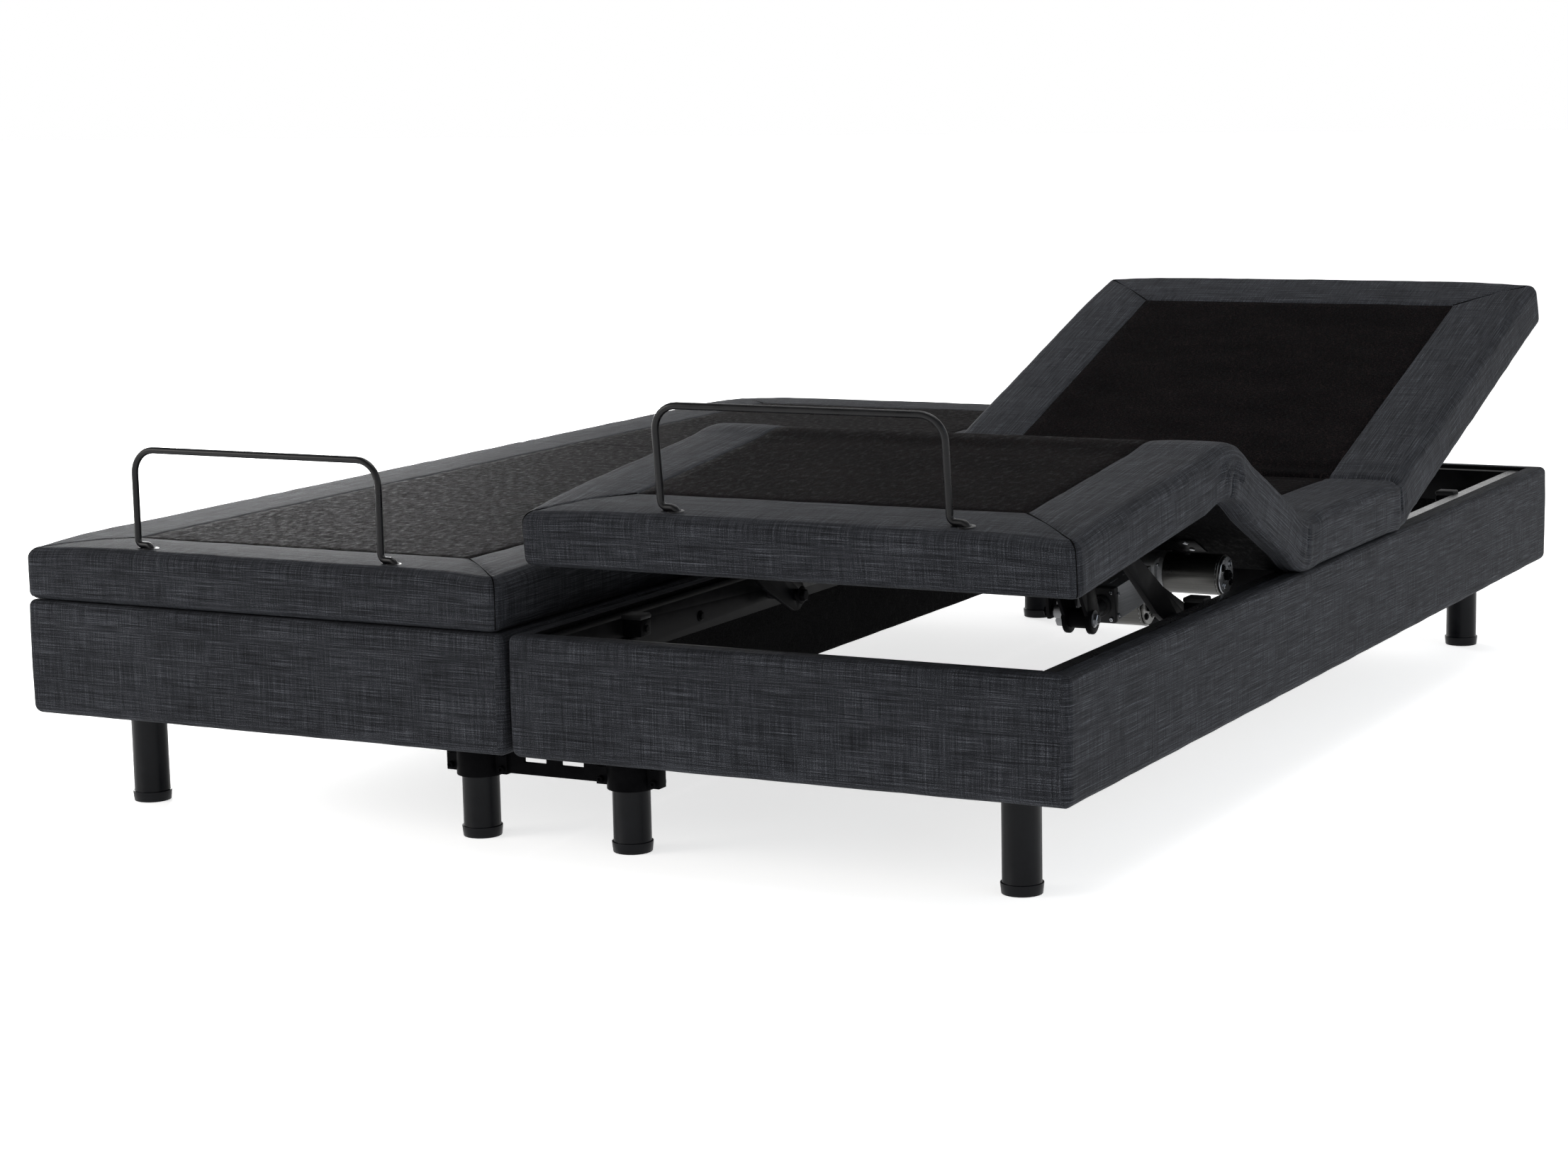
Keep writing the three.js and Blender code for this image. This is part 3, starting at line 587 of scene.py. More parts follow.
def rounded(box, x, y, z, low_capped, high_capped):
    """Rounds a box's corners in plan, then its top and bottom edges."""
    (x0, x1), (y0, y1), (z0, z1) = box
    r = CORNER_RADIUS
    cx = np.clip(x, x0 + r, x1 - r)
    cy = np.clip(y, y0 + r if low_capped else y0, y1 - r if high_capped else y1)
    dx, dy = x - cx, y - cy
    out = np.maximum(np.abs(dx), np.abs(dy))
    length = np.maximum(np.hypot(dx, dy), 1e-9)
    u = np.maximum(0, out - (r - TOP_RADIUS))
    v = np.maximum(0, z - (z1 - TOP_RADIUS))
    u_top, v_top = square_to_round(u, v, TOP_RADIUS)
    w = np.maximum(0, out - (r - BOTTOM_RADIUS))
    s = np.maximum(0, z0 + BOTTOM_RADIUS - z)
    w_low, s_low = square_to_round(w, s, BOTTOM_RADIUS)
    out = np.where((u > 0) & (v > 0), r - TOP_RADIUS + u_top, out)
    z = np.where((u > 0) & (v > 0), z1 - TOP_RADIUS + v_top, z)
    out = np.where((w > 0) & (s > 0), r - BOTTOM_RADIUS + w_low, out)
    z = np.where((w > 0) & (s > 0), z0 + BOTTOM_RADIUS - s_low, z)
    return np.stack([cx + dx / length * out, cy + dy / length * out, z], axis=1)


def waves(s, t, seed):
    """A smooth, slow unevenness between about -1 and 1."""
    total = np.zeros_like(s)
    rng = np.random.default_rng(seed)
    for long in WAVE_LENGTHS:
        turn = rng.uniform(0, 2 * math.pi, 2)
        tilt = rng.uniform(-0.8, 0.8)
        along_strip = np.sin((s + tilt * t) * 2 * math.pi / long + turn[0])
        total += along_strip * np.cos(t * 4 / long + turn[1]) * 0.4
    return total


def bell(distance, width):
    return np.exp(-((distance / width) ** 2))


class Panel:
    """One stretch of the deck's cover: a box lattice, rounded, seamed, wrinkled and folded."""

    def __init__(self, unit, kind, low, high, hinge, capped):
        self.unit, self.kind, self.hinge = unit, kind, hinge
        joint = {"head": "head_hinge", "thigh": "thigh_hinge", "foot": "knee_hinge"}[kind]
        self.set_in = min(1.0, abs(flat_value(f"{unit.name}_{joint}")) / CREASED_FROM)
        self.box = (unit.x, (low, high), unit.z)
        self.capped = capped
        self.closed_ends = [end for end, closed in zip((low, high), capped) if closed]
        self.open_ends = [end for end, closed in zip((low, high), capped) if not closed]
        self.xs = across_lines(*unit.x)
        self.ys = length_lines(low, high, hinge, BEND_LONG[kind] * 0.75, *capped)
        self.zs = height_lines(*unit.z)
        self.index = {}
        self.points = []
        self.faces, self.uvs, self.slots = [], [], []

    def vertex(self, i, j, k):
        if (i, j, k) not in self.index:
            self.index[i, j, k] = len(self.points)
            self.points.append((self.xs[i], self.ys[j], self.zs[k]))
        return self.index[i, j, k]

    def side_distance(self, x):
        return np.minimum(x - self.unit.x[0], self.unit.x[1] - x)

    def end_distance(self, y):
        """From the nearest closed end of the cover, or 1 m where it has none."""
        return np.min([y * 0 + 1.0] + [np.abs(y - end) for end in self.closed_ends], axis=0)

    def add_face(self, lattice, wall):
        """Adds a face; its strip and material follow from where its middle lies."""
        corners = [(self.xs[i], self.ys[j], self.zs[k]) for i, j, k in lattice]
        middle = np.mean(corners, axis=0)
        dx, dy = self.side_distance(middle[0]), self.end_distance(middle[1])
        end = wall == "end" or (wall in ("top", "bottom") and dy < dx)
        inside = min(dx, dy)
        slot = CLOTHS["border"]
        if wall == "top" and inside > BORDER:
            slot = CLOTHS["field"]
        elif wall == "bottom" and inside > WRAP_UNDER:
            slot = CLOTHS["lining"]
        self.faces.append([self.vertex(*p) for p in lattice])
        self.slots.append(slot)
        for x, y, z in corners:
            inset = self.end_distance(y) if end else self.side_distance(x)
            drop = {"top": -inset, "bottom": self.unit.z[1] - z + inset}.get(wall, self.unit.z[1] - z)
            if slot:
                self.uvs.append((x, y))
            elif end:
                self.uvs.append((x + 3.1, drop + 1.7))
            else:
                self.uvs.append((y, drop + (0.0 if x < self.unit.middle else 0.9)))

    def add_flat(self, k, wall, order):
        """Adds the top or the bottom; cells on a mitre are split along it."""
        for i in range(len(self.xs) - 1):
            for j in range(len(self.ys) - 1):
                cell = [(i, j, k), (i + 1, j, k), (i + 1, j + 1, k), (i, j + 1, k)]
                x = (self.xs[i] + self.xs[i + 1]) / 2
                y = (self.ys[j] + self.ys[j + 1]) / 2
                dx, dy = self.side_distance(x), self.end_distance(y)
                if abs(dx - dy) > 1e-7 or dx > BORDER:
                    self.add_face(cell[::order], wall)
                    continue
                left = x < self.unit.middle
                low = self.capped[0] and y - self.box[1][0] < BORDER
                if left == low:
                    parts = [cell[0:3], [cell[0], cell[2], cell[3]]]
                else:
                    parts = [[cell[0], cell[1], cell[3]], cell[1:4]]
                for triangle in parts:
                    self.add_face(triangle[::order], wall)

    def build_lattice(self):
        nx, ny, nz = len(self.xs) - 1, len(self.ys) - 1, len(self.zs) - 1
        self.add_flat(nz, "top", 1)
        self.add_flat(0, "bottom", -1)
        for i, order in ((0, -1), (nx, 1)):
            for j in range(ny):
                for k in range(nz):
                    cell = [(i, j, k), (i, j + 1, k), (i, j + 1, k + 1), (i, j, k + 1)]
                    self.add_face(cell[::order], "side")
        for j, order in ((0, 1), (ny, -1)):
            for i in range(nx):
                for k in range(nz):
                    cell = [(i, j, k), (i + 1, j, k), (i + 1, j, k + 1), (i, j, k + 1)]
                    self.add_face(cell[::order], "end")

    def relief(self, x, y, z):
        """How far each point stands out of the plain rounded box, along its normal."""
        z0, z1 = self.box[2]
        dx, dy = self.side_distance(x), self.end_distance(y)
        inside = np.minimum(dx, dy)
        top = z > z1 - 1e-6
        wall = ~top & (z > z0 + 1e-6)
        seed = SEEDS[self.kind] + (0 if self.unit.side > 0 else SEEDS["left"])
        loose = np.ones_like(y)
        for cut in self.open_ends:
            loose = np.minimum(loose, np.clip(np.abs(y - cut) / CUT_FADE, 0, 1))
        out = UNEVEN * waves(x + y, z * 2 + x - y, seed) * loose * (top | wall)
        out += BORDER_CROWN * np.sin(np.clip(inside / BORDER, 0, 1) * math.pi) * top
        out -= SEAM_DEPTH * bell(inside - BORDER, SEAM_HALF * 0.8) * top
        mitre = (np.abs(dx - dy) < 1e-7) & (dx < BORDER)
        out -= MITRE_DEPTH * (mitre & (top | wall))
        rise = (z - z0) / (z1 - z0)
        out += WALL_BULGE * np.sin(np.clip(rise, 0, 1) * math.pi) * wall
        return out + self.hinge_relief(x, y, rise, top, wall & (dx < 1e-6))

    def ridge(self, distance, size, place, width):
        """A ridge, or a furrow where its size is negative, as deep as the cover has set in."""
        return size * (0.2 + 0.8 * self.set_in) * MM * bell(distance - place * MM, width * MM)

    def hinge_relief(self, x, y, rise, top, wall):
        """Creases, slits and tucks where the cover crosses its hinge; a bent cover has set in."""
        off = y - self.hinge
        slit = self.ridge(off, *SLIT[self.kind]) * self.stretch(rise, *SLIT_RISE[self.kind])
        swell = self.ridge(np.abs(off), *SWELL[self.kind])
        if self.kind == "head":
            crease = -(0.8 + 6.4 * self.set_in) * MM * np.clip(1 - np.abs(off) / (12 * MM), 0, 1) ** 1.5
            tucks = self.ridge(off, *TUCKS["head"]) * np.sin(off / (3.4 * MM))
            tucks *= self.stretch(rise, 0.2, 0.8)
            return (crease + swell) * top + (slit + swell * 0.6 + tucks) * wall
        if self.kind == "thigh":
            puff = swell * np.sin(np.clip(rise, 0, 1) * math.pi)
            tucks = self.ridge(off, *TUCKS["thigh"]) * np.sin(rise * 30 + off * 70)
            return self.ridge(off, *THIGH_CREASE) * top + (slit + puff + tucks) * wall
        height = (rise - 0.4) * (self.box[2][1] - self.box[2][0])
        ring = np.hypot(off * 0.72, height)
        arc = sum(self.ridge(ring, *row) for row in KNEE_ARCS) * np.clip((height + 3 * MM) / (8 * MM), 0, 1)
        over_top = self.ridge(off, *KNEE_RIDGE) * np.clip(1 - self.side_distance(x) / (38 * MM), 0, 1)
        return (slit + arc + swell * (rise < 0.6)) * wall + over_top * top

    def stretch(self, rise, low, high):
        """Between two heights of the wall, fading in and out."""
        return np.clip((rise - low) / 0.12, 0, 1) * np.clip((high - rise) / 0.12, 0, 1)

    def corner_droop(self, x, y, z):
        """The pad falls away towards its outer corners."""
        z0, z1 = self.box[2]
        corner = np.hypot(self.side_distance(x), self.end_distance(y))
        return -CORNER_DROOP * bell(corner, DROOP_REACH) * np.clip((z - z0) / (z1 - z0), 0, 1)

    def hem_sag(self, y, z):
        """The lower edge hangs a little unevenly, and more so near the hinge."""
        low = np.clip(1 - (z - self.unit.z[0]) / HEM["high"], 0, 1)
        near = bell(y - self.hinge, HEM["near"])
        slow = waves(y, y * 0, SEEDS["hem"]) * 0.5
        return (slow + waves(y * 2.2, y * 0, SEEDS["hem_near"]) * near) * HEM["sag"] * low

    def make(self, name, materials):
        self.build_lattice()
        x, y, z = np.array(self.points).T
        co = rounded(self.box, x, y, z, *self.capped)
        mesh = cloth_mesh(name, co.tolist(), self.faces, self.uvs, self.slots)
        normals = np.zeros(len(co) * 3)
        mesh.vertices.foreach_get("normal", normals)
        co += normals.reshape(-1, 3) * self.relief(x, y, z)[:, None]
        cut = np.isclose(y[:, None], self.open_ends).any(axis=1)
        co[:, 1] = np.where(cut, y, co[:, 1])
        co[:, 2] += np.where(z > self.unit.z[0] + 1e-6, self.hem_sag(co[:, 1], co[:, 2]), 0) * ~cut
        co[:, 2] += self.corner_droop(x, y, z)
        self.keep_cuts_crisp(mesh, cut)
        return new_object(name, mesh, materials), co, mesh

    def keep_cuts_crisp(self, mesh, cut):
        """Where two covers meet, the shading runs straight on from one to the next."""
        attribute = mesh.attributes.get("sharp_edge")
        attribute = attribute or mesh.attributes.new("sharp_edge", "BOOLEAN", "EDGE")
        attribute.data.foreach_set("value", [bool(cut[a] and cut[b]) for a, b in mesh.edge_keys])


def fold(points, parent, child, joint, bend, direction):
    """Folds a flat cover over a hinge so that blending it back to flat restores it exactly.
    Returns the folded points and the blend's start and end."""
    hinge = pivot_of(joint)
    a, b = rest_matrix(parent), rest_matrix(child)
    toward = (a.to_3x3() @ (Y_AXIS * direction) + b.to_3x3() @ (Y_AXIS * direction)).normalized()
    start, end = hinge - toward * bend / 2, hinge + toward * bend / 2
    pivot = np.array(flat_matrix(parent) @ hinge)
    angle = -flat_value(joint) * Vector(JOINTS[joint]["axis"]).x
    base = np.array(a)
    step = np.array(end - start)
    weight = np.clip((points[:, 1] - pivot[1]) * direction / bend + 0.5, 0, 1)
    for _ in range(FOLD_ROUNDS):
        cos, sin = np.cos(weight * angle), np.sin(weight * angle)
        dy, dz = points[:, 1] - pivot[1], points[:, 2] - pivot[2]
        turned = np.stack([points[:, 0], pivot[1] + dy * cos - dz * sin, pivot[2] + dy * sin + dz * cos], 1)
        folded = turned @ base[:3, :3].T + base[:3, 3]
        t = np.clip((folded - np.array(start)) @ step / (step @ step), 0, 1)
        weight = 0.4 * weight + 0.6 * t * t * (3 - 2 * t)
    return folded, start, end


def deck_cover(unit, kind, low, high, hinge, capped, bodies, joint, replaced):
    panel = Panel(unit, kind, low, high, hinge, capped)
    piece, points, mesh = panel.make(f"{unit.name}_{kind}_cover", [LINEN, FELT, DUST_COVER])
    direction = 1 if kind == "head" else -1
    folded, start, end = fold(points, *bodies, joint, BEND_LONG[kind], direction)
    mesh.vertices.foreach_set("co", folded.astype(np.float32).ravel())
    mesh.update()
    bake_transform(piece)
    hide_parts(*replaced)


def deck(unit):
    n = unit.name
    deck_cover(
        unit, "head", unit.mid_seat, unit.head_end, unit.head_hinge, (False, True),
        ("base", f"{n}_head"), f"{n}_head_hinge", (f"{n}_head_panel", f"{n}_seat_panel"),
    )
    deck_cover(
        unit, "thigh", unit.mid_thigh, unit.mid_seat, unit.thigh_hinge, (False, False),
        ("base", f"{n}_thigh"), f"{n}_thigh_hinge", (f"{n}_thigh_panel",),
    )
    deck_cover(
        unit, "foot", unit.foot_end, unit.mid_thigh, unit.knee, (True, False),
        (f"{n}_thigh", f"{n}_foot"), f"{n}_knee_hinge", (f"{n}_foot_panel",),
    )


def seam_path(unit, x_side, end, y_end):
    """The mitre line of a corner in the flat deck: over the border, round the edge and down."""
    x0 = unit.x[1] if x_side > 0 else unit.x[0]
    high = unit.z[1] - unit.z[0]
    insets = np.linspace(BORDER, 0, SEAM_STEPS["border"])
    drops = np.linspace(0, high, SEAM_STEPS["wall"])
    spots = [(x0 - x_side * d, y_end - end * d, unit.z[1]) for d in insets]
    spots += [(x0, y_end, unit.z[1] - drop) for drop in drops[1:]]
    x, y, z = np.array(spots).T
    box = (unit.x, (y_end, y_end + 1) if end < 0 else (y_end - 1, y_end), unit.z)
    path = rounded(box, x, y, z, end < 0, end > 0)
    inset = np.hypot(x0 - x, y_end - y)
    path[:, 2] -= CORNER_DROOP * bell(inset, DROOP_REACH) * (z - unit.z[0]) / high
    return path


def mitre_seams(unit):
    """The sewn mitre at each outer corner of the foot and head panels."""
    n = unit.name
    for body, end, y_end in ((f"{n}_foot", -1, unit.foot_end), (f"{n}_head", 1, unit.head_end)):
        work = Metalwork()
        for x_side in (-1, 1):
            path = seam_path(unit, x_side, end, y_end)
            work.rod(path, THREAD_RADIUS, STITCH, sides=8, matrix=rest_matrix(body))
        work.finish(f"{body}_mitre_seams", body)


# ---------------------------------------------------------- upholstered rails
def rail_section(width, low, high):
    """The rail's cross-section as (inset from the outer face, height), from its inner bottom edge."""
    r = RAIL_RADII
    corners = [
        (width - r["low_in"], low + r["low_in"], r["low_in"], -90, 0),
        (width - r["top_in"], high - r["top_in"], r["top_in"], 0, 90),
        (r["top_out"], high - r["top_out"], r["top_out"], 90, 180),
        (r["low_out"], low + r["low_out"], r["low_out"], 180, 270),
    ]
    points = []
    for inset, height, radius, start, stop in corners:
        for t in np.linspace(math.radians(start), math.radians(stop), RAIL_STEPS["edge"]):
            points.append((inset + radius * math.cos(t), height + radius * math.sin(t)))
    dense = []
    for (d0, z0), (d1, z1) in zip(points, points[1:] + points[:1]):
        count = max(1, round(math.hypot(d1 - d0, z1 - z0) / RAIL_CELL["girth"]))
        dense += [(d0 + (d1 - d0) * k / count, z0 + (z1 - z0) * k / count) for k in range(count)]
    return dense


def ring_stations(x0, x1, y0, y1):
    """Stations round the unit in plan, counter-clockwise: (x, y, outward turn, is a corner)."""
    stations = []
    corners = [(x1, y0, -90), (x1, y1, 0), (x0, y1, 90), (x0, y0, 180)]
    for place, (cx, cy, start) in enumerate(corners):
        for t in np.linspace(0, 90, RAIL_STEPS["corner"]):
            stations.append((cx, cy, math.radians(start + t), True))
        nx, ny, _ = corners[(place + 1) % 4]
        count = round(math.hypot(nx - cx, ny - cy) / RAIL_CELL["run"])
        for k in range(1, count):
            x, y = cx + (nx - cx) * k / count, cy + (ny - cy) * k / count
            if min(math.hypot(x - cx, y - cy), math.hypot(x - nx, y - ny)) > RAIL_CELL["corner_gap"]:
                stations.append((x, y, math.radians(start + 90), False))
    return stations


def station_point(station, middle, inset):
    x, y, turn, corner = station
    if not corner:
        return x - inset * math.cos(turn), y - inset * math.sin(turn)
    radius = max(RAIL_CORNER - inset, 2 * MM)
    cx = x - math.copysign(inset + radius, x - middle[0])
    cy = y - math.copysign(inset + radius, y - middle[1])
    return cx + radius * math.cos(turn), cy + radius * math.sin(turn)


def rail_points(unit, section, stations, middle, low, high):
    """The cover's points, ring by ring, and the cloth's run to each ring."""
    points, run = [], [0.0]
    for s, station in enumerate(stations):
        if s:
            here, last = station_point(station, middle, 0), station_point(stations[s - 1], middle, 0)
            run.append(run[-1] + math.dist(here, last))
        for inset, height in section:
            rise = (height - low) / (high - low)
            bulge = WALL_BULGE * math.sin(math.pi * rise) if inset < 3 * MM else 0
            uneven = waves(np.array([run[-1]]), np.array([height]), SEEDS["rail"] + unit.side)
            wobble = RAIL_WOBBLE * float(uneven[0])
            share = max(0.0, 1 - inset / RAIL_SKIN)
            x, y = station_point(station, middle, inset - bulge + (0.4 * MM + 0.5 * wobble) * share)
            dip = 0.5 * wobble * (height < low + RAIL_SKIN)
            points.append((x, y, max(height + dip, low - 0.4 * MM)))
    return points, run + [run[-1] + RAIL_CELL["run"]]


def rail_cover(unit):
    """One upholstered ring over the four rails."""
    n = unit.name
    low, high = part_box(f"{n}_foot_rail")
    top_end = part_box(f"{n}_head_rail")[1].y
    section = rail_section(high.y - low.y, low.z, high.z)
    stations = ring_stations(low.x, high.x, low.y, top_end)
    middle = ((low.x + high.x) / 2, (low.y + top_end) / 2)
    points, run = rail_points(unit, section, stations, middle, low.z, high.z)
    girth = [0.0]
    for here, after in zip(section, section[1:] + section[:1]):
        girth.append(girth[-1] + math.dist(here, after))
    faces, uvs, slots = [], [], []
    count, around = len(stations), len(section)
    lining = high.y - low.y - 7 * MM
    for s in range(count):
        for k in range(around):
            t, m = (s + 1) % count, (k + 1) % around
            faces.append([s * around + k, s * around + m, t * around + m, t * around + k])
            slots.append(int(min(section[k][0], section[m][0]) > lining))
            for a, b in ((s, k), (s, k + 1), (s + 1, k + 1), (s + 1, k)):
                uvs.append((run[a] + 5.3 * unit.side, girth[b] + 4.4))
    mesh = cloth_mesh(f"{n}_rail_cover", points, faces, uvs, slots)
    check = bmesh.new()
    check.from_mesh(mesh)
    bmesh.ops.recalc_face_normals(check, faces=check.faces)
    check.to_mesh(mesh)
    check.free()
    piece = new_object(f"{n}_rail_cover", mesh, [LINEN, DUST_COVER])
    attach(piece, "base")
    rails = ("foot_rail", "head_rail", "side_rail_a", "side_rail_b")
    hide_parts(*[f"{n}_{rail}" for rail in rails])


# --------------------------------------------------------- plain CAD surfaces
def smooth_group():
    """A modifier tree that shades the shallow edges of a faceted solid smooth."""
    tree = bpy.data.node_groups.new("smooth_shallow_edges", "GeometryNodeTree")
    tree.interface.new_socket("Geometry", in_out="INPUT", socket_type="NodeSocketGeometry")
    tree.interface.new_socket("Geometry", in_out="OUTPUT", socket_type="NodeSocketGeometry")
    start = tree.nodes.new("NodeGroupInput")
    stop = tree.nodes.new("NodeGroupOutput")
    soft = tree.nodes.new("GeometryNodeSetShadeSmooth")
    soft.domain = "FACE"
    sharp = tree.nodes.new("GeometryNodeSetShadeSmooth")
    sharp.domain = "EDGE"
    sharp.inputs["Shade Smooth"].default_value = False
    angle = tree.nodes.new("GeometryNodeInputMeshEdgeAngle")
    steep = tree.nodes.new("FunctionNodeCompare")
    steep.data_type = "FLOAT"
    steep.operation = "GREATER_THAN"
    steep.inputs[1].default_value = math.radians(32)
    link = tree.links.new
    link(start.outputs[0], soft.inputs["Geometry"])
    link(soft.outputs["Geometry"], sharp.inputs["Geometry"])
    link(angle.outputs["Unsigned Angle"], steep.inputs[0])
    link(steep.outputs[0], sharp.inputs["Selection"])
    link(sharp.outputs["Geometry"], stop.inputs[0])
    return tree


SMOOTH = smooth_group()


def dress(node, material):
    """Gives a CAD node its material and eases its edges without touching its mesh."""
    piece = frame["nodes"][node]
    piece.data.materials.clear()
    piece.data.materials.append(material)
    weld = piece.modifiers.new("weld", "WELD")
    weld.merge_threshold = 0.01 * MM
    ease = piece.modifiers.new("ease", "BEVEL")
    ease.width = 0.7 * MM
    ease.segments = 2
    ease.limit_method = "ANGLE"
    ease.angle_limit = math.radians(40)
    ease.use_clamp_overlap = True
    shade = piece.modifiers.new("shade", "NODES")
    shade.node_group = SMOOTH


def dress_frame(unit):
    finishes = {
        # The right side tube gets the lighter copy of the powder coat, whose colour is a painted
        # reflection.
        PAINTED_REFLECTION_STEEL: ("frame_tube_a",),
        STEEL: (
            "frame_tube_b", "foot_frame_tube", "head_frame_tube", "front_cross_tube", "rear_cross_tube",
        ),
        LINK_STEEL: ("head_lever", "thigh_clevis", "knee_lift_bar", "lift_arm_a", "lift_arm_b"),
        LEG_PAINT: ("foot_leg_a", "foot_leg_b", "head_leg_a", "head_leg_b"),
        PLASTIC: ("control_box",),
        PROFILE: ("head_actuator", "leg_actuator"),
        ROD: ("head_actuator_rod", "leg_actuator_rod"),
    }
    for material, nodes in finishes.items():
        for node in nodes:
            dress(f"{unit.name}_{node}", material)


# ------------------------------------------------------------- retainer bars
def bent_path(corners, radii):
    """A path through corners, with each one rounded to its radius."""
    points = [Vector(c) for c in corners]
    path = [points[0]]
    for i in range(1, len(points) - 1):
        back = (points[i - 1] - points[i]).normalized()
        ahead = (points[i + 1] - points[i]).normalized()
        half = back.angle(ahead) / 2
        reach = radii[i - 1] / math.tan(half)
        centre = points[i] + (back + ahead).normalized() * radii[i - 1] / math.sin(half)
        first, last = points[i] + back * reach, points[i] + ahead * reach
        a, b = first - centre, last - centre
        turn = a.angle(b)
        for t in np.linspace(0, 1, BEND_STEPS + 1):
            spot = (a * math.sin((1 - t) * turn) + b * math.sin(t * turn)) / math.sin(turn)
            path.append(centre + spot)
    path.append(points[-1])
    return path


def retainer_bar(unit):
    """The round bar that stops the mattress, its hooked feet, eyelets and clips."""
    n = unit.name
    low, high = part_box("left_retainer_bar")
    mirror = (low.x + high.x) / 2 - Unit("left", -1).middle
    middle = unit.middle - mirror if unit.side > 0 else unit.middle + mirror
    half = (high.x - low.x) / 2 - BAR_RADIUS
    y, top = low.y + BAR_RADIUS, high.z - BAR_RADIUS
    deck_top = unit.z[1]
    foot = deck_top + BAR_RADIUS + 0.6 * MM
    foot_y = y - 2 * MM
    left, right = middle - half, middle + half
    hooks = []
    for x in (left + FOOT_TURN, right + FOOT_TURN):
        hooks.append([(x, foot_y, foot), (x + 9 * MM, foot_y, foot - 16 * MM)])
    arch = [(left, y, foot), (left, y, top), (right, y, top), (right, y, foot)]
    work = Metalwork()
    to_rest = rest_matrix(f"{n}_foot")
    path = bent_path(hooks[0][::-1] + arch + hooks[1], BAR_BENDS)
    work.rod(path, BAR_RADIUS, BAR_PAINT, sides=24, matrix=to_rest)
    eyelet = in_mm([(5.2, 0.3), (10.6, 0.3), (11.4, 0.9), (10.8, 1.7), (7, 2.2), (5.4, 1.4)])
    for x in (left, right):
        place = (x + FOOT_TURN + 2 * MM, foot_y, deck_top - 0.2 * MM)
        work.turned(eyelet, to_rest @ along(Z_AXIS, place), BAR_PAINT, sides=32)
        clip = Matrix.Translation((x + 9 * MM, y, deck_top + 0.6 * MM))
        work.block((11 * MM, 15 * MM, 1.8 * MM), to_rest @ clip, LINK_STEEL)
    bar = work.finish(f"{n}_retainer_bar_bent", f"{n}_foot")
    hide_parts(f"{n}_retainer_bar")


# ------------------------------------------------------- actuators and linkage
def reach(node, origin, axis):
    """How far a CAD node reaches from an origin along an axis."""
    return max((v.co - origin).dot(axis) for v in frame["nodes"][node].data.vertices)


class Drive:
    """The axes and ends of one CAD actuator, read from the frame."""

    def __init__(self, unit, name):
        self.name = f"{unit.name}_{name}"
        self.bright = CHROME if name == "leg" else MOTOR_CAN
        self.origin = pivot_of(f"{self.name}_actuator_pivot")
        self.axis = Vector(JOINTS[f"{self.name}_actuator_slide"]["axis"]).normalized()
        self.up = X_AXIS.cross(self.axis)
        if self.up.z < 0:
            self.up.negate()
        self.profile_end = reach(f"{self.name}_actuator", self.origin, self.axis)
        self.motor_end = reach(f"{self.name}_actuator", self.origin, X_AXIS)
        self.eye = self.spot(0, reach(f"{self.name}_actuator_rod", self.origin, self.axis) - 12 * MM, 0)

    def spot(self, x, ahead, up):
        """A place across the profile, ahead along it and up from it, from the rear pin."""
        return self.origin + X_AXIS * x + self.axis * ahead + self.up * up


def motor_trim(work, drive):
    """The motor's can, its end plate, hub and screws."""
    start = drive.spot(drive.motor_end - 78 * MM, 60 * MM, 6 * MM)
    can = [(0, 0), (26.4, 0), (27.4, 0.8), (27.4, 75), (26.9, 75.4), (26.9, 76.4), (27.6, 76.8)]
    can += [(27.6, 78.4), (27, 79), (0, 79)]
    work.turned(in_mm(can), along(X_AXIS, start), MOTOR_CAN, sides=56)
    plate_at = start + X_AXIS * 79 * MM
    plate = [(0, 0), (24.6, 0), (25.2, 0.6), (25.2, 2.6), (24.4, 3.2), (10, 3.2), (9.4, 2.2), (0, 2.2)]
    work.turned(in_mm(plate), along(X_AXIS, plate_at), drive.bright, sides=48)
    hub = [(0, 2), (7, 2), (7, 7.4), (6, 8.4), (3.2, 8.4), (3, 10.4), (0, 10.4)]
    work.turned(in_mm(hub), along(X_AXIS, plate_at), LINK_STEEL, sides=28)
    for k in range(4):
        turn = math.radians(45 + 90 * k)
        out = drive.axis * math.cos(turn) + drive.up * math.sin(turn)
        spot = plate_at + out * 17.5 * MM + X_AXIS * 3 * MM
        work.bolt(spot, X_AXIS, 6 * MM, drive.bright if k % 2 else LINK_STEEL)


def profile_trim(work, drive):
    """The profile's cap with its screws and rod seal, and the slots along its top."""
    end = drive.profile_end
    square = along(drive.axis, up=X_AXIS)
    cap = Matrix.Translation(drive.spot(0, end - 2 * MM, 0))
    work.block((40 * MM, 48 * MM, 14 * MM), cap @ square, PLASTIC, bevel=3 * MM)
    for x, up in CORNERS:
        face = drive.spot(x * 14.5 * MM, end + 5 * MM, up * 18 * MM)
        work.socket_screw(face, drive.axis, 2.6 * MM, CHROME)
        flank = drive.spot(x * 20 * MM, end - 5 * MM, up * 14 * MM)
        work.socket_screw(flank, X_AXIS * x, 2.4 * MM, CHROME)
    seal = in_mm([(10.3, 0), (14.5, 0), (14.5, 4), (13, 6), (10.3, 6)])
    work.turned(seal, along(drive.axis, drive.spot(0, end + 5 * MM, 0)), RUBBER)
    for share in (0.42, 0.62, 0.82):
        groove = Matrix.Translation(drive.spot(0, end * share, 22 * MM))
        work.block((2.2 * MM, 0.9 * MM, 26 * MM), groove @ square, PROFILE, bevel=0.3 * MM)


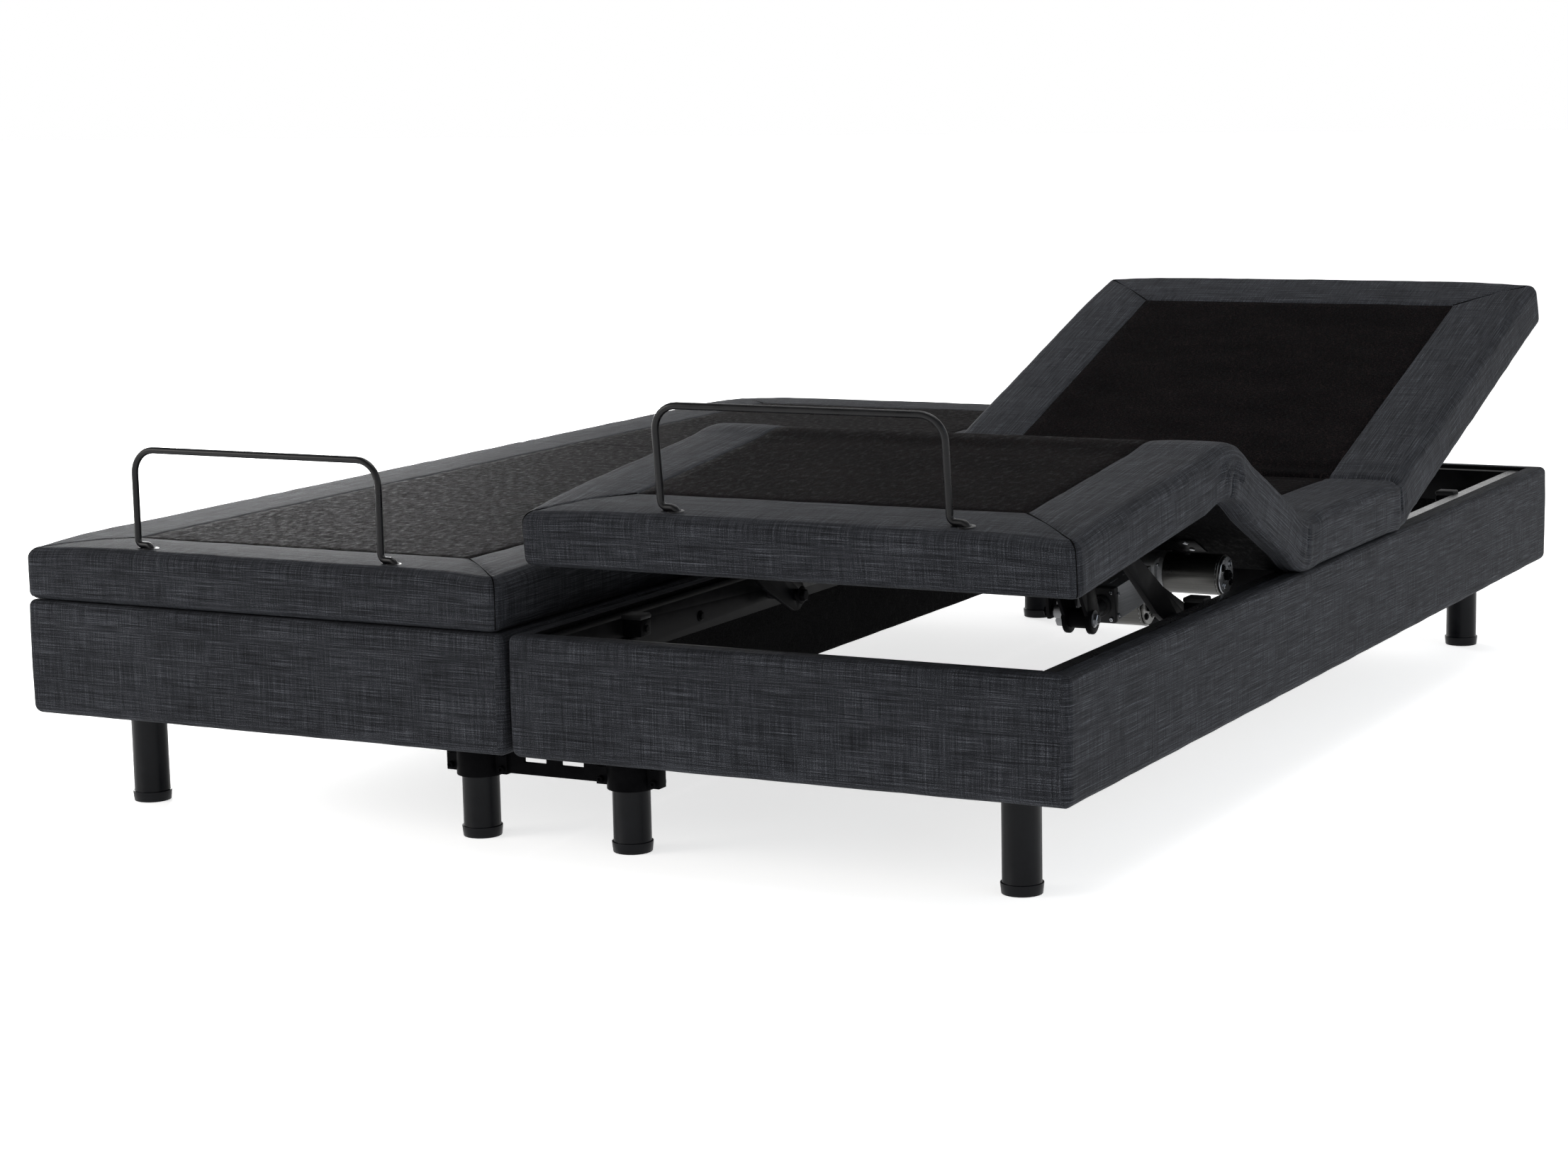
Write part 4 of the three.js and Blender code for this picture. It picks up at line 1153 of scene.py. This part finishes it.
def actuator_trim(drive):
    """Everything on one actuator's body; the motor hides the gearbox's lower screws on its side."""
    work = Metalwork()
    motor_trim(work, drive)
    profile_trim(work, drive)
    for x, up in CORNERS:
        for ahead in (34 * MM, 88 * MM):
            if x < 0 or up > 0:
                spot = drive.spot(x * 21 * MM + 1 * MM, ahead, up * 20 * MM + 1.5 * MM)
                work.socket_screw(spot, X_AXIS * x, 2.8 * MM, CHROME)
    work.finish(f"{drive.name}_actuator_trim", f"{drive.name}_drive")


def rod_end(drive):
    """The black round rod end and its collar."""
    work = Metalwork()
    ring = [(5.2, -12.8), (12.4, -12.8), (13, -12), (13, 12), (12.4, 12.8), (5.2, 12.8)]
    work.turned(in_mm(ring), along(X_AXIS, drive.eye), LINK_STEEL, sides=40)
    collar = [(10.2, 0), (12.2, 0), (12.6, 0.6), (12.6, 15), (12, 16), (10.2, 16)]
    behind_eye = along(-drive.axis, drive.eye - drive.axis * 9 * MM)
    work.turned(in_mm(collar), behind_eye, LINK_STEEL, sides=36)
    work.finish(f"{drive.name}_rod_end", f"{drive.name}_rod")


def pin_bolts(name, body, centre, radius):
    """A pin through a fork, with a hexagon head on each side."""
    work = Metalwork()
    pin = [(0, -PIN_HALF), (radius, -PIN_HALF), (radius, PIN_HALF), (0, PIN_HALF)]
    work.turned(pin, along(X_AXIS, centre), CHROME, sides=24)
    work.bolt(centre + X_AXIS * PIN_HALF, X_AXIS, 13 * MM, CHROME)
    work.bolt(centre - X_AXIS * PIN_HALF, -X_AXIS, 13 * MM, LINK_STEEL)
    work.finish(name, body)


def linkage(unit):
    """Both actuators' trim and rod ends, and every pin of the linkage."""
    n = unit.name
    head, leg = Drive(unit, "head"), Drive(unit, "leg")
    actuator_trim(head)
    actuator_trim(leg)
    rod_end(leg)
    rod_end(head)
    pin_bolts(f"{n}_foot_fork_pin", f"{n}_foot", leg.eye, EYE_PIN)
    pin_bolts(f"{n}_head_lever_pin", f"{n}_head", head.eye, EYE_PIN)
    pin_bolts(f"{n}_leg_actuator_pin", f"{n}_thigh", leg.origin, REAR_PIN)
    pin_bolts(f"{n}_head_actuator_pin", "base", head.origin, REAR_PIN)
    pivot = pivot_of(f"{n}_lift_arm_pivot")
    work = Metalwork()
    for side in (-1, 1):
        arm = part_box(f"{n}_lift_arm_{'a' if side > 0 else 'b'}")
        inner = arm[0].x if side > 0 else arm[1].x
        spot = Vector((inner - side * 6.5 * MM, pivot.y, pivot.z))
        work.bolt(spot, -X_AXIS * side, 15 * MM, LINK_STEEL)
    work.finish(f"{n}_arm_pivot_bolts", "base")
    bumper(unit)


def bumper(unit):
    """A round rubber stop that hangs under the foot panel beside the fork."""
    n = unit.name
    place = (unit.middle + 138 * MM, unit.knee - 135 * MM, unit.z[0] - 14 * MM)
    stop = in_mm([(0, 0), (15, 0), (15, -34), (17, -36), (17, -44), (15.5, -47), (0, -47)])
    work = Metalwork()
    work.turned(stop, rest_matrix(f"{n}_foot") @ along(Z_AXIS, place), RUBBER, sides=36)
    work.finish(f"{n}_foot_bumper", f"{n}_foot")


def standoffs(unit):
    """Blocks with rubber caps on the inner frame, on which the panels come to rest."""
    n = unit.name
    top = unit.z[0] - 1.2 * MM
    reach_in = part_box(f"{n}_frame_tube_a")[1].x - unit.middle - REST_INSET
    parts = (
        ((28, 26, 22), 0, 18, LINK_STEEL, 1.5),
        ((30, 28, 7), 0, 3.7, RUBBER, 2.2),
        ((22, 30, 4), 15, 34, LINK_STEEL, 0.6),
    )
    work = Metalwork()
    for side, y in REST_BLOCKS:
        x = unit.middle + side * reach_in
        for size, aside, below, material, bevel in parts:
            place = Matrix.Translation((x + side * aside * MM, y, top - below * MM))
            work.block([length * MM for length in size], place, material, bevel=bevel * MM)
        work.bolt(Vector((x - side * 13 * MM, y, top - 19 * MM)), -X_AXIS * side, 8 * MM, LINK_STEEL)
    work.finish(f"{n}_rest_blocks", "base")


def tube_bolts(work, unit, tube_name, side):
    """Bolts in a side tube's inner face, for the cross tubes and along the rail."""
    low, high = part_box(f"{unit.name}_{tube_name}")
    inner = high.x - TUBE_WIDE if side > 0 else low.x + TUBE_WIDE
    front, rear = (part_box(f"{unit.name}_{end}_cross_tube") for end in ("front", "rear"))
    for y in (front[0].y + CROSS_HALF, (rear[0].y + rear[1].y) / 2):
        for shift in (-BOLT_ASIDE, BOLT_ASIDE):
            spot = Vector((inner, y + shift, low.z + 25 * MM))
            work.bolt(spot, -X_AXIS * side, 10 * MM, LINK_STEEL)
    for y in RAIL_BOLTS:
        work.bolt(Vector((inner, y, low.z + 20 * MM)), -X_AXIS * side, 9 * MM, LINK_STEEL)


def frame_bolts(unit):
    """Bolts that hold the cross tubes, the rails and the leg plates."""
    n = unit.name
    work = Metalwork()
    tube_bolts(work, unit, "frame_tube_a", 1)
    tube_bolts(work, unit, "frame_tube_b", -1)
    for corner in ("foot_leg_a", "foot_leg_b", "head_leg_a", "head_leg_b"):
        _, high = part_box(f"{n}_{corner}")
        leg_x = unit.middle + math.copysign(LEG_PLACE[0], high.x - unit.middle)
        leg_y = math.copysign(LEG_PLACE[1], high.y)
        for dx, dy in CORNERS:
            spot = Vector((leg_x + dx * BOLT_ASIDE, leg_y + dy * BOLT_ASIDE, high.z - PLATE_FACE))
            work.bolt(spot, -Z_AXIS, 9 * MM, CHROME)
    work.finish(f"{n}_frame_bolts", "base")


def hinge_leaf(work, to_rest, place):
    """One steel leaf with its two screws."""
    work.block((34 * MM, 52 * MM, 3 * MM), to_rest @ Matrix.Translation(place), LINK_STEEL)
    head = in_mm([(0, 0), (4.6, 0), (3.6, 1.6), (0, 2.1)])
    for hole in (-14 * MM, 14 * MM):
        spot = place + Vector((0, hole, -1.4 * MM))
        work.turned(head, to_rest @ along(-Z_AXIS, spot), CHROME, sides=20)


def hinge_straps(unit):
    """Steel leaves screwed under the panels beside each hinge line."""
    n = unit.name
    head, thigh, knee = (LEAF_OFFSET[line] for line in ("head", "thigh", "knee"))
    leaves = {
        f"{n}_head": [unit.head_hinge + head],
        "base": [unit.head_hinge - head, unit.thigh_hinge + thigh],
        f"{n}_thigh": [unit.thigh_hinge - thigh, unit.knee + knee],
        f"{n}_foot": [unit.knee - knee],
    }
    for owner, places in leaves.items():
        work = Metalwork()
        for y in places:
            for x in LEAF_PLACES:
                place = Vector((unit.middle + x, y, unit.z[0] - 0.3 * MM))
                hinge_leaf(work, rest_matrix(owner), place)
        panel = f"{n}_seat" if owner == "base" else owner
        work.finish(f"{panel}_hinge_leaves", owner)


# -------------------------------------------------------------- leg connectors
def connector_bolts(node):
    """The screws through the flat ears of each clamp, with a nut behind."""
    low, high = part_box(node)
    leg_x = (high.x - low.x) / 2 - EAR_REACH
    work = Metalwork()
    for side in (-1, 1):
        for ear, up in CORNERS:
            x, z = side * leg_x + ear * EAR_MIDDLE, (low.z + high.z) / 2 + up * 10 * MM
            work.socket_screw(Vector((x, low.y + EAR_FRONT, z)), -Y_AXIS, 4.4 * MM, LINK_STEEL)
            work.bolt(Vector((x, high.y - EAR_FRONT, z)), Y_AXIS, 8 * MM, CHROME)
    work.finish(f"{node}_screws", "base")


# --------------------------------------------------------------- stage, camera
def light(name, place, target, size, power, colour=(1, 1, 1)):
    data = bpy.data.lights.new(name, "AREA")
    data.shape = "RECTANGLE"
    data.size, data.size_y = size
    data.energy = power
    data.color = colour
    lamp = bpy.data.objects.new(name, data)
    bpy.context.scene.collection.objects.link(lamp)
    lamp.location = place
    lamp.rotation_euler = (Vector(target) - Vector(place)).to_track_quat("-Z", "Y").to_euler()


def pale_floor():
    n = Nodes("pale_floor", Emission_Color=(1, 1, 1, 1), Emission_Strength=0.7)
    n.colour(n.ramp(n.noise(n.place(), 3.0), [(0.0, (0.88,) * 3), (1.0, (0.92,) * 3)]))
    n.roughness(0.7)
    return n.material


def world_light():
    """A white horizon that fades upwards, so that the tops stay darker than a white room makes them."""
    world = bpy.data.worlds.new("white_studio")
    bpy.context.scene.world = world
    world.use_nodes = True
    tree = world.node_tree
    heading = tree.nodes.new("ShaderNodeTexCoord")
    height = tree.nodes.new("ShaderNodeSeparateXYZ")
    fade = tree.nodes.new("ShaderNodeValToRGB")
    for element, (place, grey) in zip(fade.color_ramp.elements, SKY_FADE):
        element.position = place
        element.color = (grey, grey, grey, 1)
    tree.links.new(heading.outputs["Generated"], height.inputs[0])
    tree.links.new(height.outputs["Z"], fade.inputs["Fac"])
    tree.links.new(fade.outputs["Color"], tree.nodes["Background"].inputs["Color"])


def studio():
    bpy.context.scene.view_settings.view_transform = "Standard"
    world_light()
    light("key", (-3.0, -3.2, 1.8), (-0.5, 0, 0.3), (2.0, 2.0), 54, (1, 0.97, 0.93))
    light("cool_fill", (4.2, -0.6, 2.4), (0.7, -0.3, 0.3), (2.0, 2.0), 8, (0.4, 0.7, 1))
    light("top", (0.5, 0.6, 4.4), (0, -0.2, 0.3), (3.5, 3.5), 112)
    light("rim", (-4.2, 3.7, 1.3), (-0.6, -0.5, 0.35), (1.8, 1.3), 125)
    floor = bmesh.new()
    bmesh.ops.create_grid(floor, x_segments=8, y_segments=8, size=30)
    mesh = bpy.data.meshes.new("floor")
    floor.to_mesh(mesh)
    floor.free()
    stage = new_object("floor", mesh, [pale_floor()])
    stage.location.z = -0.2 * MM


def camera():
    data = bpy.data.cameras.new("camera")
    data.sensor_width = 36
    data.lens = CAMERA["lens"]
    data.clip_end = 200
    eye = bpy.data.objects.new("camera", data)
    bpy.context.scene.collection.objects.link(eye)
    yaw, down, roll = (math.radians(angle) for angle in CAMERA["turn"])
    turn = Matrix.Rotation(yaw, 4, "Z") @ Matrix.Rotation(math.pi / 2 - down, 4, "X")
    eye.matrix_world = Matrix.Translation(CAMERA["place"]) @ turn @ Matrix.Rotation(roll, 4, "Z")
    bpy.context.scene.camera = eye


camera()
studio()
for unit_name, unit_side in SIDES.items():
    this = Unit(unit_name, unit_side)
    rail_cover(this)
    deck(this)
    mitre_seams(this)
    dress_frame(this)
    retainer_bar(this)
    linkage(this)
    standoffs(this)
    frame_bolts(this)
    hinge_straps(this)
for connector in ("foot_leg_connector", "head_leg_connector"):
    dress(connector, LINK_STEEL)
    connector_bolts(connector)
